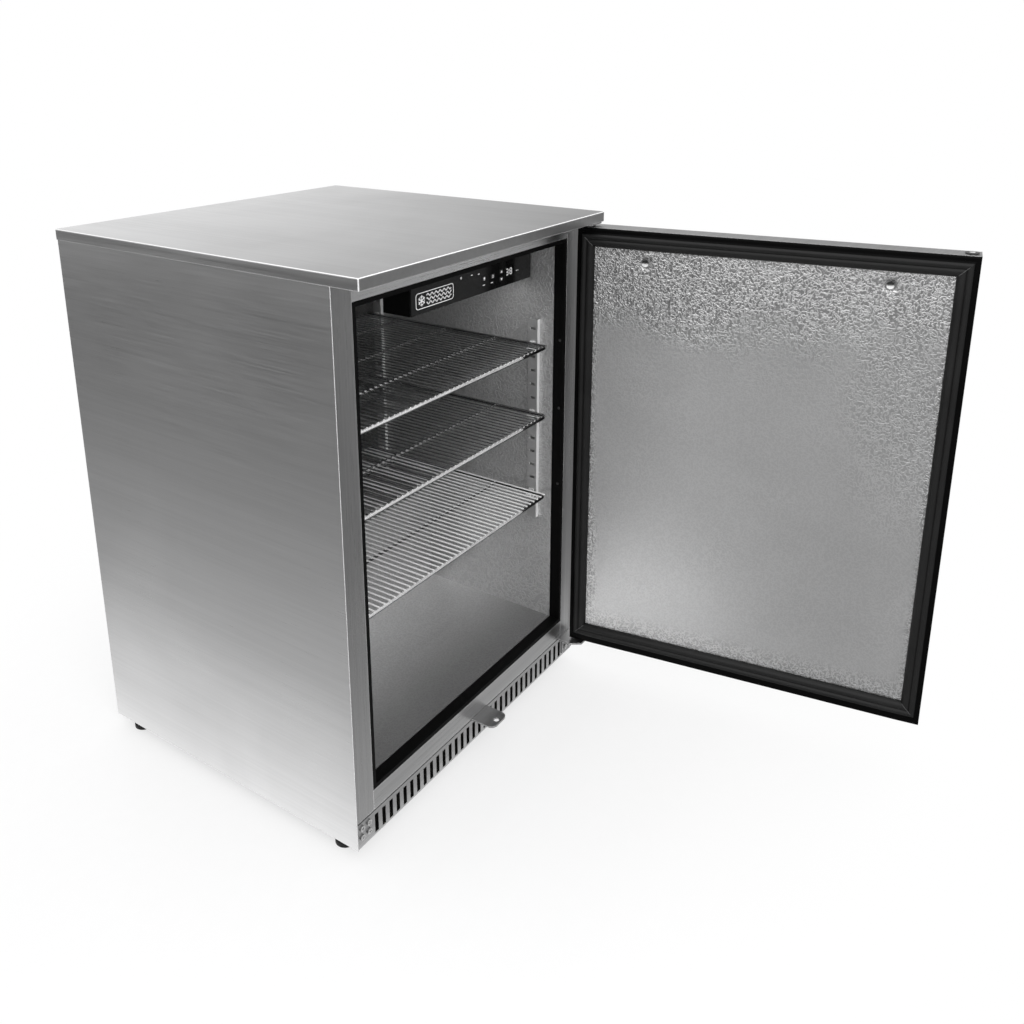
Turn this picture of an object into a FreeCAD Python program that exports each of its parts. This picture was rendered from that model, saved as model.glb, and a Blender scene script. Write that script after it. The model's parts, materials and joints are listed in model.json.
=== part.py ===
import FreeCAD, Part
import math
import os
import Sketcher
from FreeCAD import Placement, Rotation, Vector

# Undercounter refrigerator: a stainless cabinet with one side-hung insulated door,
# three sliding wire shelves, a ceiling control box and a rear machine compartment.
# Millimetres, +Z up. Origin: centre of the base pan's underside; the levelling feet reach
# 20 mm below it. The front faces -Y, the door hinge is on the +X side.
# The rest position has the door standing open. Every piece is drawn with the floor at
# height zero and is lowered at the end so that the base pan's underside is at the origin.

SIZES = [
    # cabinet and worktop
    ("body_width", 595.0), ("body_depth", 547.0), ("pan_z", 20.0),
    ("lip_z", 841.0), ("top_z", 857.0), ("top_width", 598.0), ("top_overhang", 47.0),
    ("top_rear_inset", -1.5), ("top_skin", 1.5), ("lip_skin", 1.2),
    ("carcass_z", 855.4), ("skin", 1.0), ("rail_skin", 1.2),
    ("pillar_width", 36.5), ("pillar_return", 12.0),
    ("seam_z", 65.0), ("opening_low", 98.0), ("opening_high", 814.0), ("throat_depth", 20.0),
    # cavity, with the step over the machine compartment
    ("liner_skin", 1.0), ("cavity_width", 509.0), ("cavity_low", 105.5), ("cavity_high", 807.0),
    ("cavity_back", 233.5), ("step_y", 20.0), ("step_z", 296.0),
    ("machine_y", 58.0), ("machine_z", 258.0),
    # grille
    ("grille_low", 21.8), ("slot_count", 33.0), ("slot_width", 8.0), ("slot_low", 25.0),
    ("slot_height", 31.0), ("slot_run", 513.0),
    # door, hinge line, gasket, handle bolts and lock, all with the door closed
    ("door_width", 598.0), ("door_low", 69.0), ("door_high", 834.0), ("door_thick", 40.0),
    ("door_back", 283.5), ("pivot_x", 285.9), ("pivot_y", 301.0), ("door_angle", 99.26),
    ("pin_diameter", 8.0), ("pin_length", 14.5),
    ("seal_inner_width", 539.0), ("seal_low", 104.5), ("seal_high", 803.0),
    ("seal_width", 22.0), ("seal_front", 274.3),
    ("bolt_x", 184.0), ("bolt_z", 782.0), ("lock_z", 91.0), ("lock_y", 307.5),
    ("lock_travel", 10.0), ("tab_width", 43.0), ("tab_reach", 42.5), ("tab_thick", 2.2),
    # ceiling control box
    ("control_x", -74.5), ("control_length", 318.0), ("control_front", 211.5),
    ("control_depth", 50.0), ("control_low", 744.0),
    # pilasters and shelves
    ("pilaster_width", 19.0), ("pilaster_depth", 8.0), ("pilaster_low", 301.0),
    ("pilaster_high", 670.0), ("pilaster_skin", 1.2), ("pilaster_front", 226.5),
    ("pilaster_rear", 124.5), ("hole_pitch", 25.0), ("hole_low", 328.8),
    ("shelf_width", 486.0), ("shelf_front", 247.5), ("shelf_rear", 150.0),
    ("rod_radius", 3.0), ("wire_radius", 1.35), ("wire_pitch", 11.35), ("wire_count", 43.0),
    ("shelf_upper_z", 626.5), ("shelf_middle_z", 501.5), ("shelf_lower_z", 351.5),
    # feet
    ("foot_x", 275.5), ("foot_front", 229.5), ("foot_rear", 233.5),
    ("pad_radius", 16.0), ("stud_radius", 4.0), ("stud_hole_radius", 4.06),
    # machinery
    ("compressor_x", -120.0), ("compressor_y", 175.0), ("compressor_radius", 72.0),
    ("condenser_x", 160.0), ("condenser_z", 130.0), ("evaporator_fan_z", 430.0),
]


class Dim:
    """A number with the sheet expression that makes it."""

    def __init__(self, value, text):
        self.value, self.text = float(value), text

    def __add__(self, other):
        other = dim(other)
        return Dim(self.value + other.value, "(%s + %s)" % (self.text, other.text))

    def __sub__(self, other):
        other = dim(other)
        return Dim(self.value - other.value, "(%s - %s)" % (self.text, other.text))

    def __mul__(self, other):
        other = dim(other)
        return Dim(self.value * other.value, "(%s * %s)" % (self.text, other.text))

    def __truediv__(self, other):
        other = dim(other)
        return Dim(self.value / other.value, "(%s / %s)" % (self.text, other.text))

    def __neg__(self):
        return Dim(-self.value, "(0 - %s)" % self.text)

    def __rmul__(self, other):
        return dim(other) * self


def dim(number):
    if isinstance(number, Dim):
        return number
    return Dim(number, "(%r)" % float(number) if number < 0 else "%r" % float(number))


class Sizes:
    """Holds each driving dimension as a Dim under its alias."""


doc = FreeCAD.newDocument("undercounter_refrigerator")
sheet = doc.addObject("Spreadsheet::Sheet", "dims")
dims = Sizes()
for row, (alias, number) in enumerate(SIZES, 1):
    sheet.set("A%d" % row, alias)
    sheet.set("B%d" % row, str(number))
    sheet.setAlias("B%d" % row, alias)
    setattr(dims, alias, Dim(number, "dims." + alias))
doc.recompute()

nodes = {}


# ---------------------------------------------------------------- document helpers
def link(obj, path, value):
    """Bind a property to the sheet when its value comes from driving dimensions."""
    if "dims." in value.text:
        obj.setExpression(path, value.text)


def assign(obj, prop, value):
    value = dim(value)
    setattr(obj, prop, value.value)
    link(obj, prop, value)


def put(obj, x, y, z, rotation=None):
    x, y, z = dim(x), dim(y), dim(z)
    obj.Placement = Placement(Vector(x.value, y.value, z.value), rotation or Rotation())
    for axis, value in (("x", x), ("y", y), ("z", z)):
        link(obj, "Placement.Base." + axis, value)


def node(obj, label):
    """Register an object as a piece to be exported."""
    obj.Label = label
    nodes[label] = obj
    return obj


def feature(label, shape):
    obj = doc.addObject("Part::Feature", label)
    obj.Shape = shape
    return node(obj, label)


# ---------------------------------------------------------------- Part helpers
def box(name, x0, x1, y0, y1, z0, z1):
    obj = doc.addObject("Part::Box", name)
    x0, y0, z0 = dim(x0), dim(y0), dim(z0)
    assign(obj, "Length", dim(x1) - x0)
    assign(obj, "Width", dim(y1) - y0)
    assign(obj, "Height", dim(z1) - z0)
    put(obj, x0, y0, z0)
    return obj


AXIS_TURN = {
    "x": Rotation(Vector(0, 1, 0), 90),
    "y": Rotation(Vector(1, 0, 0), -90),
    "z": Rotation(),
}


def cylinder(name, radius, length, x, y, z, axis="z"):
    """Cylinder starting at x, y, z and running along +axis."""
    obj = doc.addObject("Part::Cylinder", name)
    assign(obj, "Radius", radius)
    assign(obj, "Height", length)
    put(obj, x, y, z, AXIS_TURN[axis])
    return obj


def fuse(name, *items):
    obj = doc.addObject("Part::MultiFuse", name)
    obj.Shapes = list(items)
    return obj


def cut(name, base, *tools):
    obj = doc.addObject("Part::Cut", name)
    obj.Base = base
    obj.Tool = tools[0] if len(tools) == 1 else fuse(name + "_tools", *tools)
    return obj


def group(name, items):
    obj = doc.addObject("Part::Compound", name)
    obj.Links = items
    return obj


# ---------------------------------------------------------------- PartDesign helpers
def body_node(label):
    return node(doc.addObject("PartDesign::Body", label + "_body"), label)


def origin_feature(body, role):
    return [item for item in body.Origin.OriginFeatures if item.Role == role][0]


def pin_point(profile, geometry, point, x, y):
    """Fix a sketch point to the origin, or to an axis where its coordinate is zero."""
    for kind, axis, value in (("DistanceX", -2, x), ("DistanceY", -1, y)):
        if abs(value.value) < 1e-9:
            rule = Sketcher.Constraint("PointOnObject", geometry, point, axis)
        else:
            rule = Sketcher.Constraint(kind, -1, 1, geometry, point, value.value)
        index = profile.addConstraint(rule)
        if abs(value.value) >= 1e-9:
            link(profile, "Constraints[%d]" % index, value)


def draw_polygon(profile, corners):
    points = [(dim(x), dim(y)) for x, y in corners]
    count, base = len(points), profile.GeometryCount
    ends = [Vector(x.value, y.value, 0) for x, y in points]
    for i in range(count):
        profile.addGeometry(Part.LineSegment(ends[i], ends[(i + 1) % count]), False)
    for i in range(count):
        following = base + (i + 1) % count
        profile.addConstraint(Sketcher.Constraint("Coincident", base + i, 2, following, 1))
    for i in range(count):
        pin_point(profile, base + i, 1, *points[i])


def draw_circle(profile, x, y, radius):
    x, y, radius = dim(x), dim(y), dim(radius)
    ring = Part.Circle(Vector(x.value, y.value, 0), Vector(0, 0, 1), radius.value)
    geometry = profile.addGeometry(ring, False)
    index = profile.addConstraint(Sketcher.Constraint("Radius", geometry, radius.value))
    link(profile, "Constraints[%d]" % index, radius)
    pin_point(profile, geometry, 3, x, y)


def rect(x0, x1, y0, y1):
    return [(x0, y0), (x1, y0), (x1, y1), (x0, y1)]


def sketch(body, name, plane, offset, *outlines):
    """Sketch on a body's origin plane. XY looks along +Z, XZ along -Y, YZ along +X.

    An outline is a list of corner points; a circle is a tuple (x, y, radius).
    """
    profile = body.newObject("Sketcher::SketchObject", name)
    profile.AttachmentSupport = [(origin_feature(body, plane + "_Plane"), "")]
    profile.MapMode = "FlatFace"
    offset = dim(offset)
    profile.AttachmentOffset = Placement(Vector(0, 0, offset.value), Rotation())
    link(profile, "AttachmentOffset.Base.z", offset)
    for outline in outlines:
        if isinstance(outline, tuple):
            draw_circle(profile, *outline)
        else:
            draw_polygon(profile, outline)
    return profile


def pad(body, name, plane, offset, length, *outlines, reverse=False, midplane=False):
    profile = sketch(body, name, plane, offset, *outlines)
    result = body.newObject("PartDesign::Pad", "Pad")
    result.Profile = profile
    assign(result, "Length", length)
    if midplane:
        result.Midplane = True
    result.Reversed = reverse
    doc.recompute()
    return result


def cut_profile(body, profile, depth):
    before = body.Tip.Shape.Volume
    result = body.newObject("PartDesign::Pocket", "Pocket")
    result.Profile = profile
    assign(result, "Length", depth)

    def removes_nothing():
        return result.Shape.isNull() or not before - result.Shape.Volume > 1e-3

    doc.recompute()
    # A sketch may lie on either side of the solid: turn the cut round if it misses.
    if removes_nothing():
        result.Reversed = True
        doc.recompute()
    if removes_nothing():
        raise RuntimeError("pocket removes nothing in " + body.Name)
    return result


def pocket(body, name, plane, offset, depth, *outlines):
    cut_profile(body, sketch(body, name, plane, offset, *outlines), depth)


def pocket_row(body, name, plane, offset, depth, outline, axis, run, count):
    """Pocket repeated count times over the length run, along an axis of its sketch."""
    profile = sketch(body, name, plane, offset, outline)
    first = cut_profile(body, profile, depth)
    result = body.newObject("PartDesign::LinearPattern", "LinearPattern")
    result.Originals = [first]
    result.Direction = (profile, [axis])
    assign(result, "Length", run)
    count = dim(count)
    result.Occurrences = int(count.value)
    link(result, "Occurrences", count)
    body.Tip = result
    doc.recompute()


def revolve(body, profile, axis):
    result = body.newObject("PartDesign::Revolution", "Revolution")
    result.Profile = profile
    result.ReferenceAxis = (profile, [axis])
    result.Angle = 360
    doc.recompute()


def near(a, b):
    return abs(a - b) < 0.01


def at_y(y):
    """Edge test: both ends lie at this y."""
    return lambda start, end: near(start.y, y) and near(end.y, y)


def fillet(body, radius, test):
    """Round the edges whose two end points pass the test."""
    tip = body.Tip
    names = []
    for i, edge in enumerate(tip.Shape.Edges, 1):
        ends = [vertex.Point for vertex in edge.Vertexes]
        if len(ends) == 2 and test(*ends):
            names.append("Edge%d" % i)
    if not names:
        raise RuntimeError("no edges to round in " + body.Name)
    result = body.newObject("PartDesign::Fillet", "Fillet")
    result.Base = (tip, names)
    result.Radius = radius
    doc.recompute()


def swing(obj):
    """Turn a door piece, drawn closed, about the hinge line into the open rest position."""
    angle = math.radians(dims.door_angle.value)
    cosine, sine = math.cos(angle), math.sin(angle)
    x, y = dims.pivot_x.value, -dims.pivot_y.value
    base = Vector(x - (cosine * x - sine * y), y - (sine * x + cosine * y), 0)
    obj.Placement = Placement(base, Rotation(Vector(0, 0, 1), dims.door_angle.value))
    cosine, sine = "cos(dims.door_angle)", "sin(dims.door_angle)"
    obj.setExpression(
        "Placement.Base.x",
        "dims.pivot_x - (%s * dims.pivot_x + %s * dims.pivot_y)" % (cosine, sine))
    obj.setExpression(
        "Placement.Base.y",
        "0 - dims.pivot_y - (%s * dims.pivot_x - %s * dims.pivot_y)" % (sine, cosine))


# ---------------------------------------------------------------- swept shapes
def rounded_corner(before, corner, after, radius):
    """Start point, arc and end point of a bend at the corner."""
    back, ahead = (before - corner).normalize(), (after - corner).normalize()
    half_angle = back.getAngle(ahead) / 2
    setback = radius / math.tan(half_angle)
    start, end = corner + back * setback, corner + ahead * setback
    centre = corner + (back + ahead).normalize() * (radius / math.sin(half_angle))
    middle = centre + (corner - centre).normalize() * radius
    return start, Part.Arc(start, middle, end).toShape(), end


def sweep(edges, radius, centre, direction):
    section = Part.Wire([Part.makeCircle(radius, centre, direction)])
    shell = Part.Wire(edges).makePipeShell([section], True, False)
    # The sweep may come back as a closed shell.
    return shell if shell.ShapeType == "Solid" else Part.Solid(shell)


def tube(points, radius, bend_radius):
    """Round rod along the points, with its corners bent."""
    path = [Vector(*point) for point in points]
    edges, last = [], path[0]
    for i in range(1, len(path) - 1):
        start, arc, end = rounded_corner(path[i - 1], path[i], path[i + 1], bend_radius)
        if (start - last).Length > 1e-6:
            edges.append(Part.makeLine(last, start))
        edges.append(arc)
        last = end
    edges.append(Part.makeLine(last, path[-1]))
    return sweep(edges, radius, path[0], path[1] - path[0])


def single_solid(shape):
    return shape.Solids[0] if len(shape.Solids) == 1 else shape


# ---------------------------------------------------------------- shared places
half_width, half_depth = dims.body_width / 2, dims.body_depth / 2
half_cavity = dims.cavity_width / 2
front = -half_depth
pillar_x = half_width - dims.pillar_width

# Screw places as (x, z) on the cabinet front
SCREW_HOLE_RADIUS = 2.6
left_screws = [(x, z) for x in (-288, -273.5) for z in (38.5, 53.5)]
low_hinge_screws = [(x, z) for x in (273.5, 288) for z in (38.5, 53.5)]
top_hinge_screws = [(268, 847.5), (288, 847.5)]

# Upright refrigerant line between the machine compartment and the evaporator
LINE_X, LINE_Y = -200, 222


def screw_holes(places):
    return [(x, z, SCREW_HOLE_RADIUS) for x, z in places]


# ---------------------------------------------------------------- worktop
top_side = dims.top_width / 2
top_front = front - dims.top_overhang
top_rear = half_depth - dims.top_rear_inset
body = body_node("worktop")
pad(body, "worktop_plan", "XY", dims.lip_z, dims.top_z - dims.lip_z,
    rect(-top_side, top_side, top_front, top_rear))
pocket(body, "worktop_hollow", "XY", dims.lip_z, dims.top_z - dims.lip_z - dims.top_skin,
       rect(-top_side + dims.lip_skin, top_side - dims.lip_skin,
            top_front + dims.lip_skin, top_rear - dims.lip_skin))
pad(body, "worktop_hem", "XY", dims.lip_z, 1.2,
    rect(-top_side + 0.5, top_side - 0.5, top_front + 0.5, top_front + 15))
# First the upright corners, then the rim of the upper face
fillet(body, 2.0, lambda start, end: near(start.x, end.x) and near(start.y, end.y)
       and near(abs(start.x), top_side.value)
       and (near(start.y, top_front.value) or near(start.y, top_rear.value)))
fillet(body, 1.6, lambda start, end: near(start.z, dims.top_z.value)
       and near(end.z, dims.top_z.value))

# ---------------------------------------------------------------- side panels with front pillars
REAR_FLANGE = 17
PILLAR_GAP = 0.3
at_cabinet_front = at_y(front.value)
for side, label in ((-1, "side_panel_left"), (1, "side_panel_right")):
    body = body_node(label)
    outer, inner = side * half_width, side * (half_width - dims.skin)
    flange = side * (half_width - REAR_FLANGE)
    pad(body, label + "_wall", "XY", dims.pan_z, dims.carcass_z - dims.pan_z,
        [(outer, front), (inner, front), (inner, half_depth - dims.skin),
         (flange, half_depth - dims.skin), (flange, half_depth), (outer, half_depth)])
    wall, edge_x = side * (half_width - PILLAR_GAP), side * pillar_x
    return_x = side * (pillar_x + dims.skin)
    return_y = front + dims.pillar_return
    pad(body, label + "_pillar", "XY", dims.seam_z, dims.carcass_z - dims.seam_z,
        [(wall, front), (edge_x, front), (edge_x, return_y), (return_x, return_y),
         (return_x, front + dims.skin), (wall, front + dims.skin)])
    # The long upright edge at the outer front corner
    fillet(body, 0.8, lambda start, end: at_cabinet_front(start, end)
           and near(abs(start.x), half_width.value) and near(abs(end.x), half_width.value)
           and (end - start).Length > 500)
    if side > 0:
        pocket(body, "hinge_screw_holes", "XZ", half_depth + 3, 8,
               *screw_holes(top_hinge_screws))

# ---------------------------------------------------------------- header rail and bottom rail
rail_width = dims.body_width - dims.pillar_width * 2 - 0.2
rail_back = front + dims.rail_skin
body = body_node("header_rail")
pad(body, "header_section", "YZ", 0, rail_width,
    [(front, dims.opening_high), (return_y, dims.opening_high),
     (return_y, dims.opening_high + dims.rail_skin),
     (rail_back, dims.opening_high + dims.rail_skin),
     (rail_back, dims.carcass_z), (front, dims.carcass_z)], midplane=True)

body = body_node("bottom_rail")
pad(body, "rail_section", "YZ", 0, rail_width,
    [(front, dims.seam_z), (front + 24, dims.seam_z),
     (front + 24, dims.seam_z + dims.rail_skin), (rail_back, dims.seam_z + dims.rail_skin),
     (rail_back, dims.opening_low - dims.rail_skin),
     (return_y, dims.opening_low - dims.rail_skin),
     (return_y, dims.opening_low), (front, dims.opening_low)], midplane=True)

# ---------------------------------------------------------------- back panel and machine cover
rear_side = half_width - 1.3
rear_offset = -(half_depth - 1.2)
REAR_SHEET = 1.0
body = body_node("back_panel")
pad(body, "back_face", "XZ", rear_offset, REAR_SHEET,
    rect(-rear_side, rear_side, dims.machine_z + 3, dims.carcass_z))

body = body_node("machine_cover")
pad(body, "cover_face", "XZ", rear_offset, REAR_SHEET,
    rect(-rear_side, rear_side, dims.pan_z + 1.8, dims.machine_z + 2.6))
for name, x0, x1 in (("louvre", 60, 250), ("louvre_left", -250, -60)):
    pocket_row(body, name, "XZ", -half_depth - 3, 10, rect(x0, x1, 60, 66), "V_Axis", 150, 11)
pocket(body, "cord_hole", "XZ", -half_depth - 3, 10, (0, 50, 6.2))

# ---------------------------------------------------------------- base pan
pan_side = half_width - 1.2
pan_rear = half_depth - 2.6
# Compressor mount places, from the compressor's centre
MOUNT_OFFSETS = [(dx, dy) for dx in (-82, 82) for dy in (-50, 50)]
body = body_node("base_pan")
pad(body, "pan_plan", "XY", dims.pan_z, 1.5,
    rect(-pan_side, pan_side, front + 1.6, pan_rear))
for side in (-1, 1):
    pad(body, "pan_upstand_%d" % (side + 1), "XY", dims.pan_z, 22,
        rect(side * pan_side, side * (half_width - 2.7), front + 14, pan_rear))
pocket(body, "foot_holes", "XY", dims.pan_z - 2, 6,
       *[(side * dims.foot_x, y, dims.stud_hole_radius)
         for side in (-1, 1) for y in (-dims.foot_front, dims.foot_rear)])
pocket(body, "mount_holes", "XY", dims.pan_z - 2, 6,
       *[(dims.compressor_x + dx, dims.compressor_y + dy, 3.2) for dx, dy in MOUNT_OFFSETS])

# ---------------------------------------------------------------- cabinet foam
# One pour between the skins and the liner, clear of the liner by FOAM_GAP
FOAM_GAP = 0.1
clear_x = half_cavity + dims.liner_skin + FOAM_GAP
clear_high = dims.cavity_high + dims.liner_skin + FOAM_GAP
foam = box("foam_block", -rear_side, rear_side, front + 2.5, half_depth - 2.5,
           dims.seam_z + 2, dims.carcass_z - 1)
foam_tools = [
    box("foam_cavity_front", -clear_x, clear_x,
        front - 5, dims.step_y + dims.liner_skin + FOAM_GAP,
        dims.cavity_low - dims.liner_skin - FOAM_GAP, clear_high),
    box("foam_cavity_rear", -clear_x, clear_x,
        dims.step_y, dims.cavity_back + dims.liner_skin + FOAM_GAP,
        dims.step_z - dims.liner_skin - FOAM_GAP, clear_high),
    box("foam_frame_zone", -half_cavity - 8.2, half_cavity + 8.2,
        front - 5, front + dims.throat_depth + 0.8,
        dims.opening_low - 3, dims.opening_high + 3),
    box("foam_machine_zone", -half_width - 5, half_width + 5,
        dims.machine_y, half_depth + 5, 60, dims.machine_z),
    box("foam_screw_zone", 262, half_width, front - 2, front + 14, 820, 858),
    box("foam_return_left", -pillar_x - 1.7, -pillar_x + 0.5,
        front - 5, return_y + 1, 60, 862),
    box("foam_return_right", pillar_x - 0.5, pillar_x + 1.7,
        front - 5, return_y + 1, 60, 862),
    cylinder("foam_line_hole", 11.5, 60, LINE_X, LINE_Y, dims.machine_z - 10),
]
node(cut("foam_cut", foam, *foam_tools), "cabinet_foam")

# ---------------------------------------------------------------- stepped inner liner
liner_x = half_cavity + dims.liner_skin
liner_high = dims.cavity_high + dims.liner_skin
liner_outside = fuse(
    "liner_outer",
    box("liner_out_a", -liner_x, liner_x, front + dims.throat_depth + 0.7,
        dims.step_y + dims.liner_skin, dims.cavity_low - dims.liner_skin, liner_high),
    box("liner_out_b", -liner_x, liner_x, dims.step_y, dims.cavity_back + dims.liner_skin,
        dims.step_z - dims.liner_skin, liner_high))
liner_inside = fuse(
    "liner_inner",
    box("liner_in_a", -half_cavity, half_cavity, front, dims.step_y,
        dims.cavity_low, dims.cavity_high),
    box("liner_in_b", -half_cavity, half_cavity, dims.step_y - 5, dims.cavity_back,
        dims.step_z, dims.cavity_high),
    cylinder("liner_line_hole", 11, 20, LINE_X, LINE_Y, dims.step_z - 10))
node(cut("liner_cut", liner_outside, liner_inside), "inner_liner")

# ---------------------------------------------------------------- breaker frame round the opening
body = body_node("breaker_frame")
pad(body, "throat_outer", "XZ", half_depth, dims.throat_depth,
    rect(-pillar_x + 0.2, pillar_x - 0.2, dims.opening_low + 0.2, dims.opening_high - 0.2),
    reverse=True)
pocket(body, "throat_inner", "XZ", half_depth, dims.throat_depth + 2,
       rect(-half_cavity, half_cavity, dims.cavity_low, dims.cavity_high))

# ---------------------------------------------------------------- grille panel with upright slots
grille_side, grille_inside = half_width - 1.2, half_width - 2.4
grille_back = front + 13
grille_top = dims.seam_z - 0.4
first_slot_x = -dims.slot_run / 2
body = body_node("grille_panel")
pad(body, "grille_plan", "XY", dims.grille_low, grille_top - dims.grille_low,
    [(-grille_side, front), (grille_side, front), (grille_side, grille_back),
     (grille_inside, grille_back), (grille_inside, rail_back), (-grille_inside, rail_back),
     (-grille_inside, grille_back), (-grille_side, grille_back)])
pocket_row(body, "first_slot", "XZ", half_depth + 2, 6,
           rect(first_slot_x - dims.slot_width / 2, first_slot_x + dims.slot_width / 2,
                dims.slot_low, dims.slot_low + dims.slot_height),
           "H_Axis", dims.slot_run, dims.slot_count)
pocket(body, "tab_notch", "XZ", half_depth + 2, 6,
       rect(-dims.tab_width / 2 - 0.5, dims.tab_width / 2 + 0.5,
            grille_top - dims.tab_thick - 0.3, dims.seam_z + 1))
pocket(body, "screw_holes", "XZ", half_depth + 2, 6,
       *screw_holes(left_screws + low_hinge_screws))

# ---------------------------------------------------------------- keeper tab for the door lock
tab_front = front - dims.tab_reach
at_tab_front = at_y(tab_front.value)
body = body_node("lock_keeper")
pad(body, "tab_plan", "XY", grille_top - dims.tab_thick, dims.tab_thick,
    rect(-dims.tab_width / 2, dims.tab_width / 2, tab_front, front + 22))
fillet(body, 12.0, lambda start, end: at_tab_front(start, end) and near(start.x, end.x))
pocket(body, "tab_hole", "XY", dims.seam_z - 5, 10, (0, -dims.lock_y, 4.5))

# ---------------------------------------------------------------- hinge brackets with their pins
HINGE_THICK = 3
HINGE_SIDE = 296.5
hinge_back = front - 0.1
hinge_plate = [(252, hinge_back), (252, front - 26), (264, front - 43.5),
               (HINGE_SIDE, front - 43.5), (HINGE_SIDE, hinge_back)]


def hinge_bracket(label, plate_z, flange, pin_z, pin_length, pin_down, screws):
    bracket = body_node(label)
    pad(bracket, "plate", "XY", plate_z, HINGE_THICK, hinge_plate)
    pad(bracket, "flange", "XZ", half_depth + 0.1, HINGE_THICK, flange)
    pad(bracket, "pin", "XY", pin_z, pin_length,
        (dims.pivot_x, -dims.pivot_y, dims.pin_diameter / 2), reverse=pin_down)
    pocket(bracket, "flange_holes", "XZ", half_depth + 6, 12, *screw_holes(screws))


hinge_bracket("hinge_bracket_bottom", 62, rect(266, HINGE_SIDE, 27, 62.5),
              64, dims.pin_length + 1, False, low_hinge_screws)
hinge_bracket("hinge_bracket_top", 837.3, rect(260, HINGE_SIDE, 838, 853.5),
              838, dims.pin_length + 0.7, True, top_hinge_screws)

# ---------------------------------------------------------------- bracket screws, M5 pan head
HEAD_RADIUS, HEAD_HEIGHT = 4.4, 2.2
SHANK_RADIUS, SHANK_LENGTH = 2.4, 12
DRIVE_REACH, DRIVE_HALF = 2.6, 0.5    # half length and half width of each cross slot
screw_places = [(x, z, front) for x, z in left_screws]
# Through the hinge flanges the heads stand 3.1 further forward.
screw_places += [(x, z, front - 3.1) for x, z in low_hinge_screws + top_hinge_screws]
screws = []
for i, (x, z, seat) in enumerate(screw_places):
    solid = fuse("screw_solid_%d" % i,
                 cylinder("screw_head_%d" % i, HEAD_RADIUS, HEAD_HEIGHT, x, seat - 2.3, z, "y"),
                 cylinder("screw_shank_%d" % i, SHANK_RADIUS, SHANK_LENGTH,
                          x, seat - 0.2, z, "y"))
    slots = [box("screw_%s_%d" % (name, i), x - across, x + across,
                 seat - 3, seat - 1.4, z - upright, z + upright)
             for name, across, upright in (("drive", DRIVE_REACH, DRIVE_HALF),
                                           ("cross", DRIVE_HALF, DRIVE_REACH))]
    screws.append(cut("screw_%d" % i, solid, *slots))
node(group("screw_set", screws), "bracket_screws")

# ---------------------------------------------------------------- door skin
# All door pieces are drawn closed and then swung open.
door_side = dims.door_width / 2
door_rear = -dims.door_back
door_face = door_rear - dims.door_thick
BOLT_HOLE_RADIUS = 3.2
bolt_holes = [(side * dims.bolt_x, dims.bolt_z, BOLT_HOLE_RADIUS) for side in (-1, 1)]
body = body_node("door_skin")
pad(body, "door_face", "XZ", dims.door_back, dims.door_thick,
    rect(-door_side, door_side, dims.door_low, dims.door_high))
fillet(body, 2.5, at_y(door_face.value))
pocket(body, "door_hollow", "XZ", dims.door_back, dims.door_thick - 1.0,
       rect(-door_side + dims.skin, door_side - dims.skin,
            dims.door_low + dims.skin, dims.door_high - dims.skin))
pocket(body, "face_holes", "XZ", dims.door_back + dims.door_thick + 5, 10,
       *bolt_holes, (0, dims.lock_z, 9.6))
# One cut runs through both ends of the door.
pocket(body, "end_holes", "XY", dims.door_low - 5, 900,
       *[(side * dims.pivot_x, -dims.pivot_y, 7.0) for side in (1, -1)])
pocket(body, "bolt_hole", "XY", dims.door_low - 5, 10, (0, -dims.lock_y, 4.2))
swing(body)

# ---------------------------------------------------------------- door foam
foam_side = door_side - 1.2
foam_low, foam_high = dims.door_low + 1.2, dims.door_high - 1.2
foam = box("door_block", -foam_side, foam_side, door_face + 2.2, door_rear - 1.4,
           foam_low, foam_high)
ways = []
for i, (side, z) in enumerate(((1, 69), (-1, 69), (1, 816), (-1, 816))):
    ways.append(cylinder("end_socket_%d" % i, 7.2, 19, side * dims.pivot_x, -dims.pivot_y, z))
for side in (-1, 1):
    ways.append(cylinder("bolt_way_%d" % (side + 1), BOLT_HOLE_RADIUS, 60,
                         side * dims.bolt_x, door_face - 5, dims.bolt_z, "y"))
ways.append(box("lock_pocket", -13, 13, door_face + 10.5, -dims.lock_y + 6,
                dims.door_low, 108))
ways.append(cylinder("barrel_way", 10, 16, 0, door_face, dims.lock_z, "y"))
swing(node(cut("door_foam_cut", foam, *ways), "door_foam"))

# ---------------------------------------------------------------- door inner panel
body = body_node("door_inner_panel")
pad(body, "panel_face", "XZ", dims.door_back + 0.3, 1.0,
    rect(-foam_side, foam_side, foam_low, foam_high))
pocket(body, "panel_holes", "XZ", dims.door_back + 5, 10, *bolt_holes)
swing(body)

# ---------------------------------------------------------------- door gasket
seal_x = dims.seal_inner_width / 2
seal_inside = rect(-seal_x, seal_x, dims.seal_low, dims.seal_high)
body = body_node("door_gasket")
pad(body, "seal_base", "XZ", dims.door_back - 1.8, 2.0,
    rect(-door_side + 2, door_side - 2, dims.door_low + 2, dims.door_high - 2), seal_inside)
pad(body, "seal_bulb", "XZ", dims.seal_front, dims.door_back - dims.seal_front - 1,
    rect(-seal_x - dims.seal_width, seal_x + dims.seal_width,
         dims.seal_low - dims.seal_width, dims.seal_high + dims.seal_width), seal_inside)
swing(body)

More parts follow.
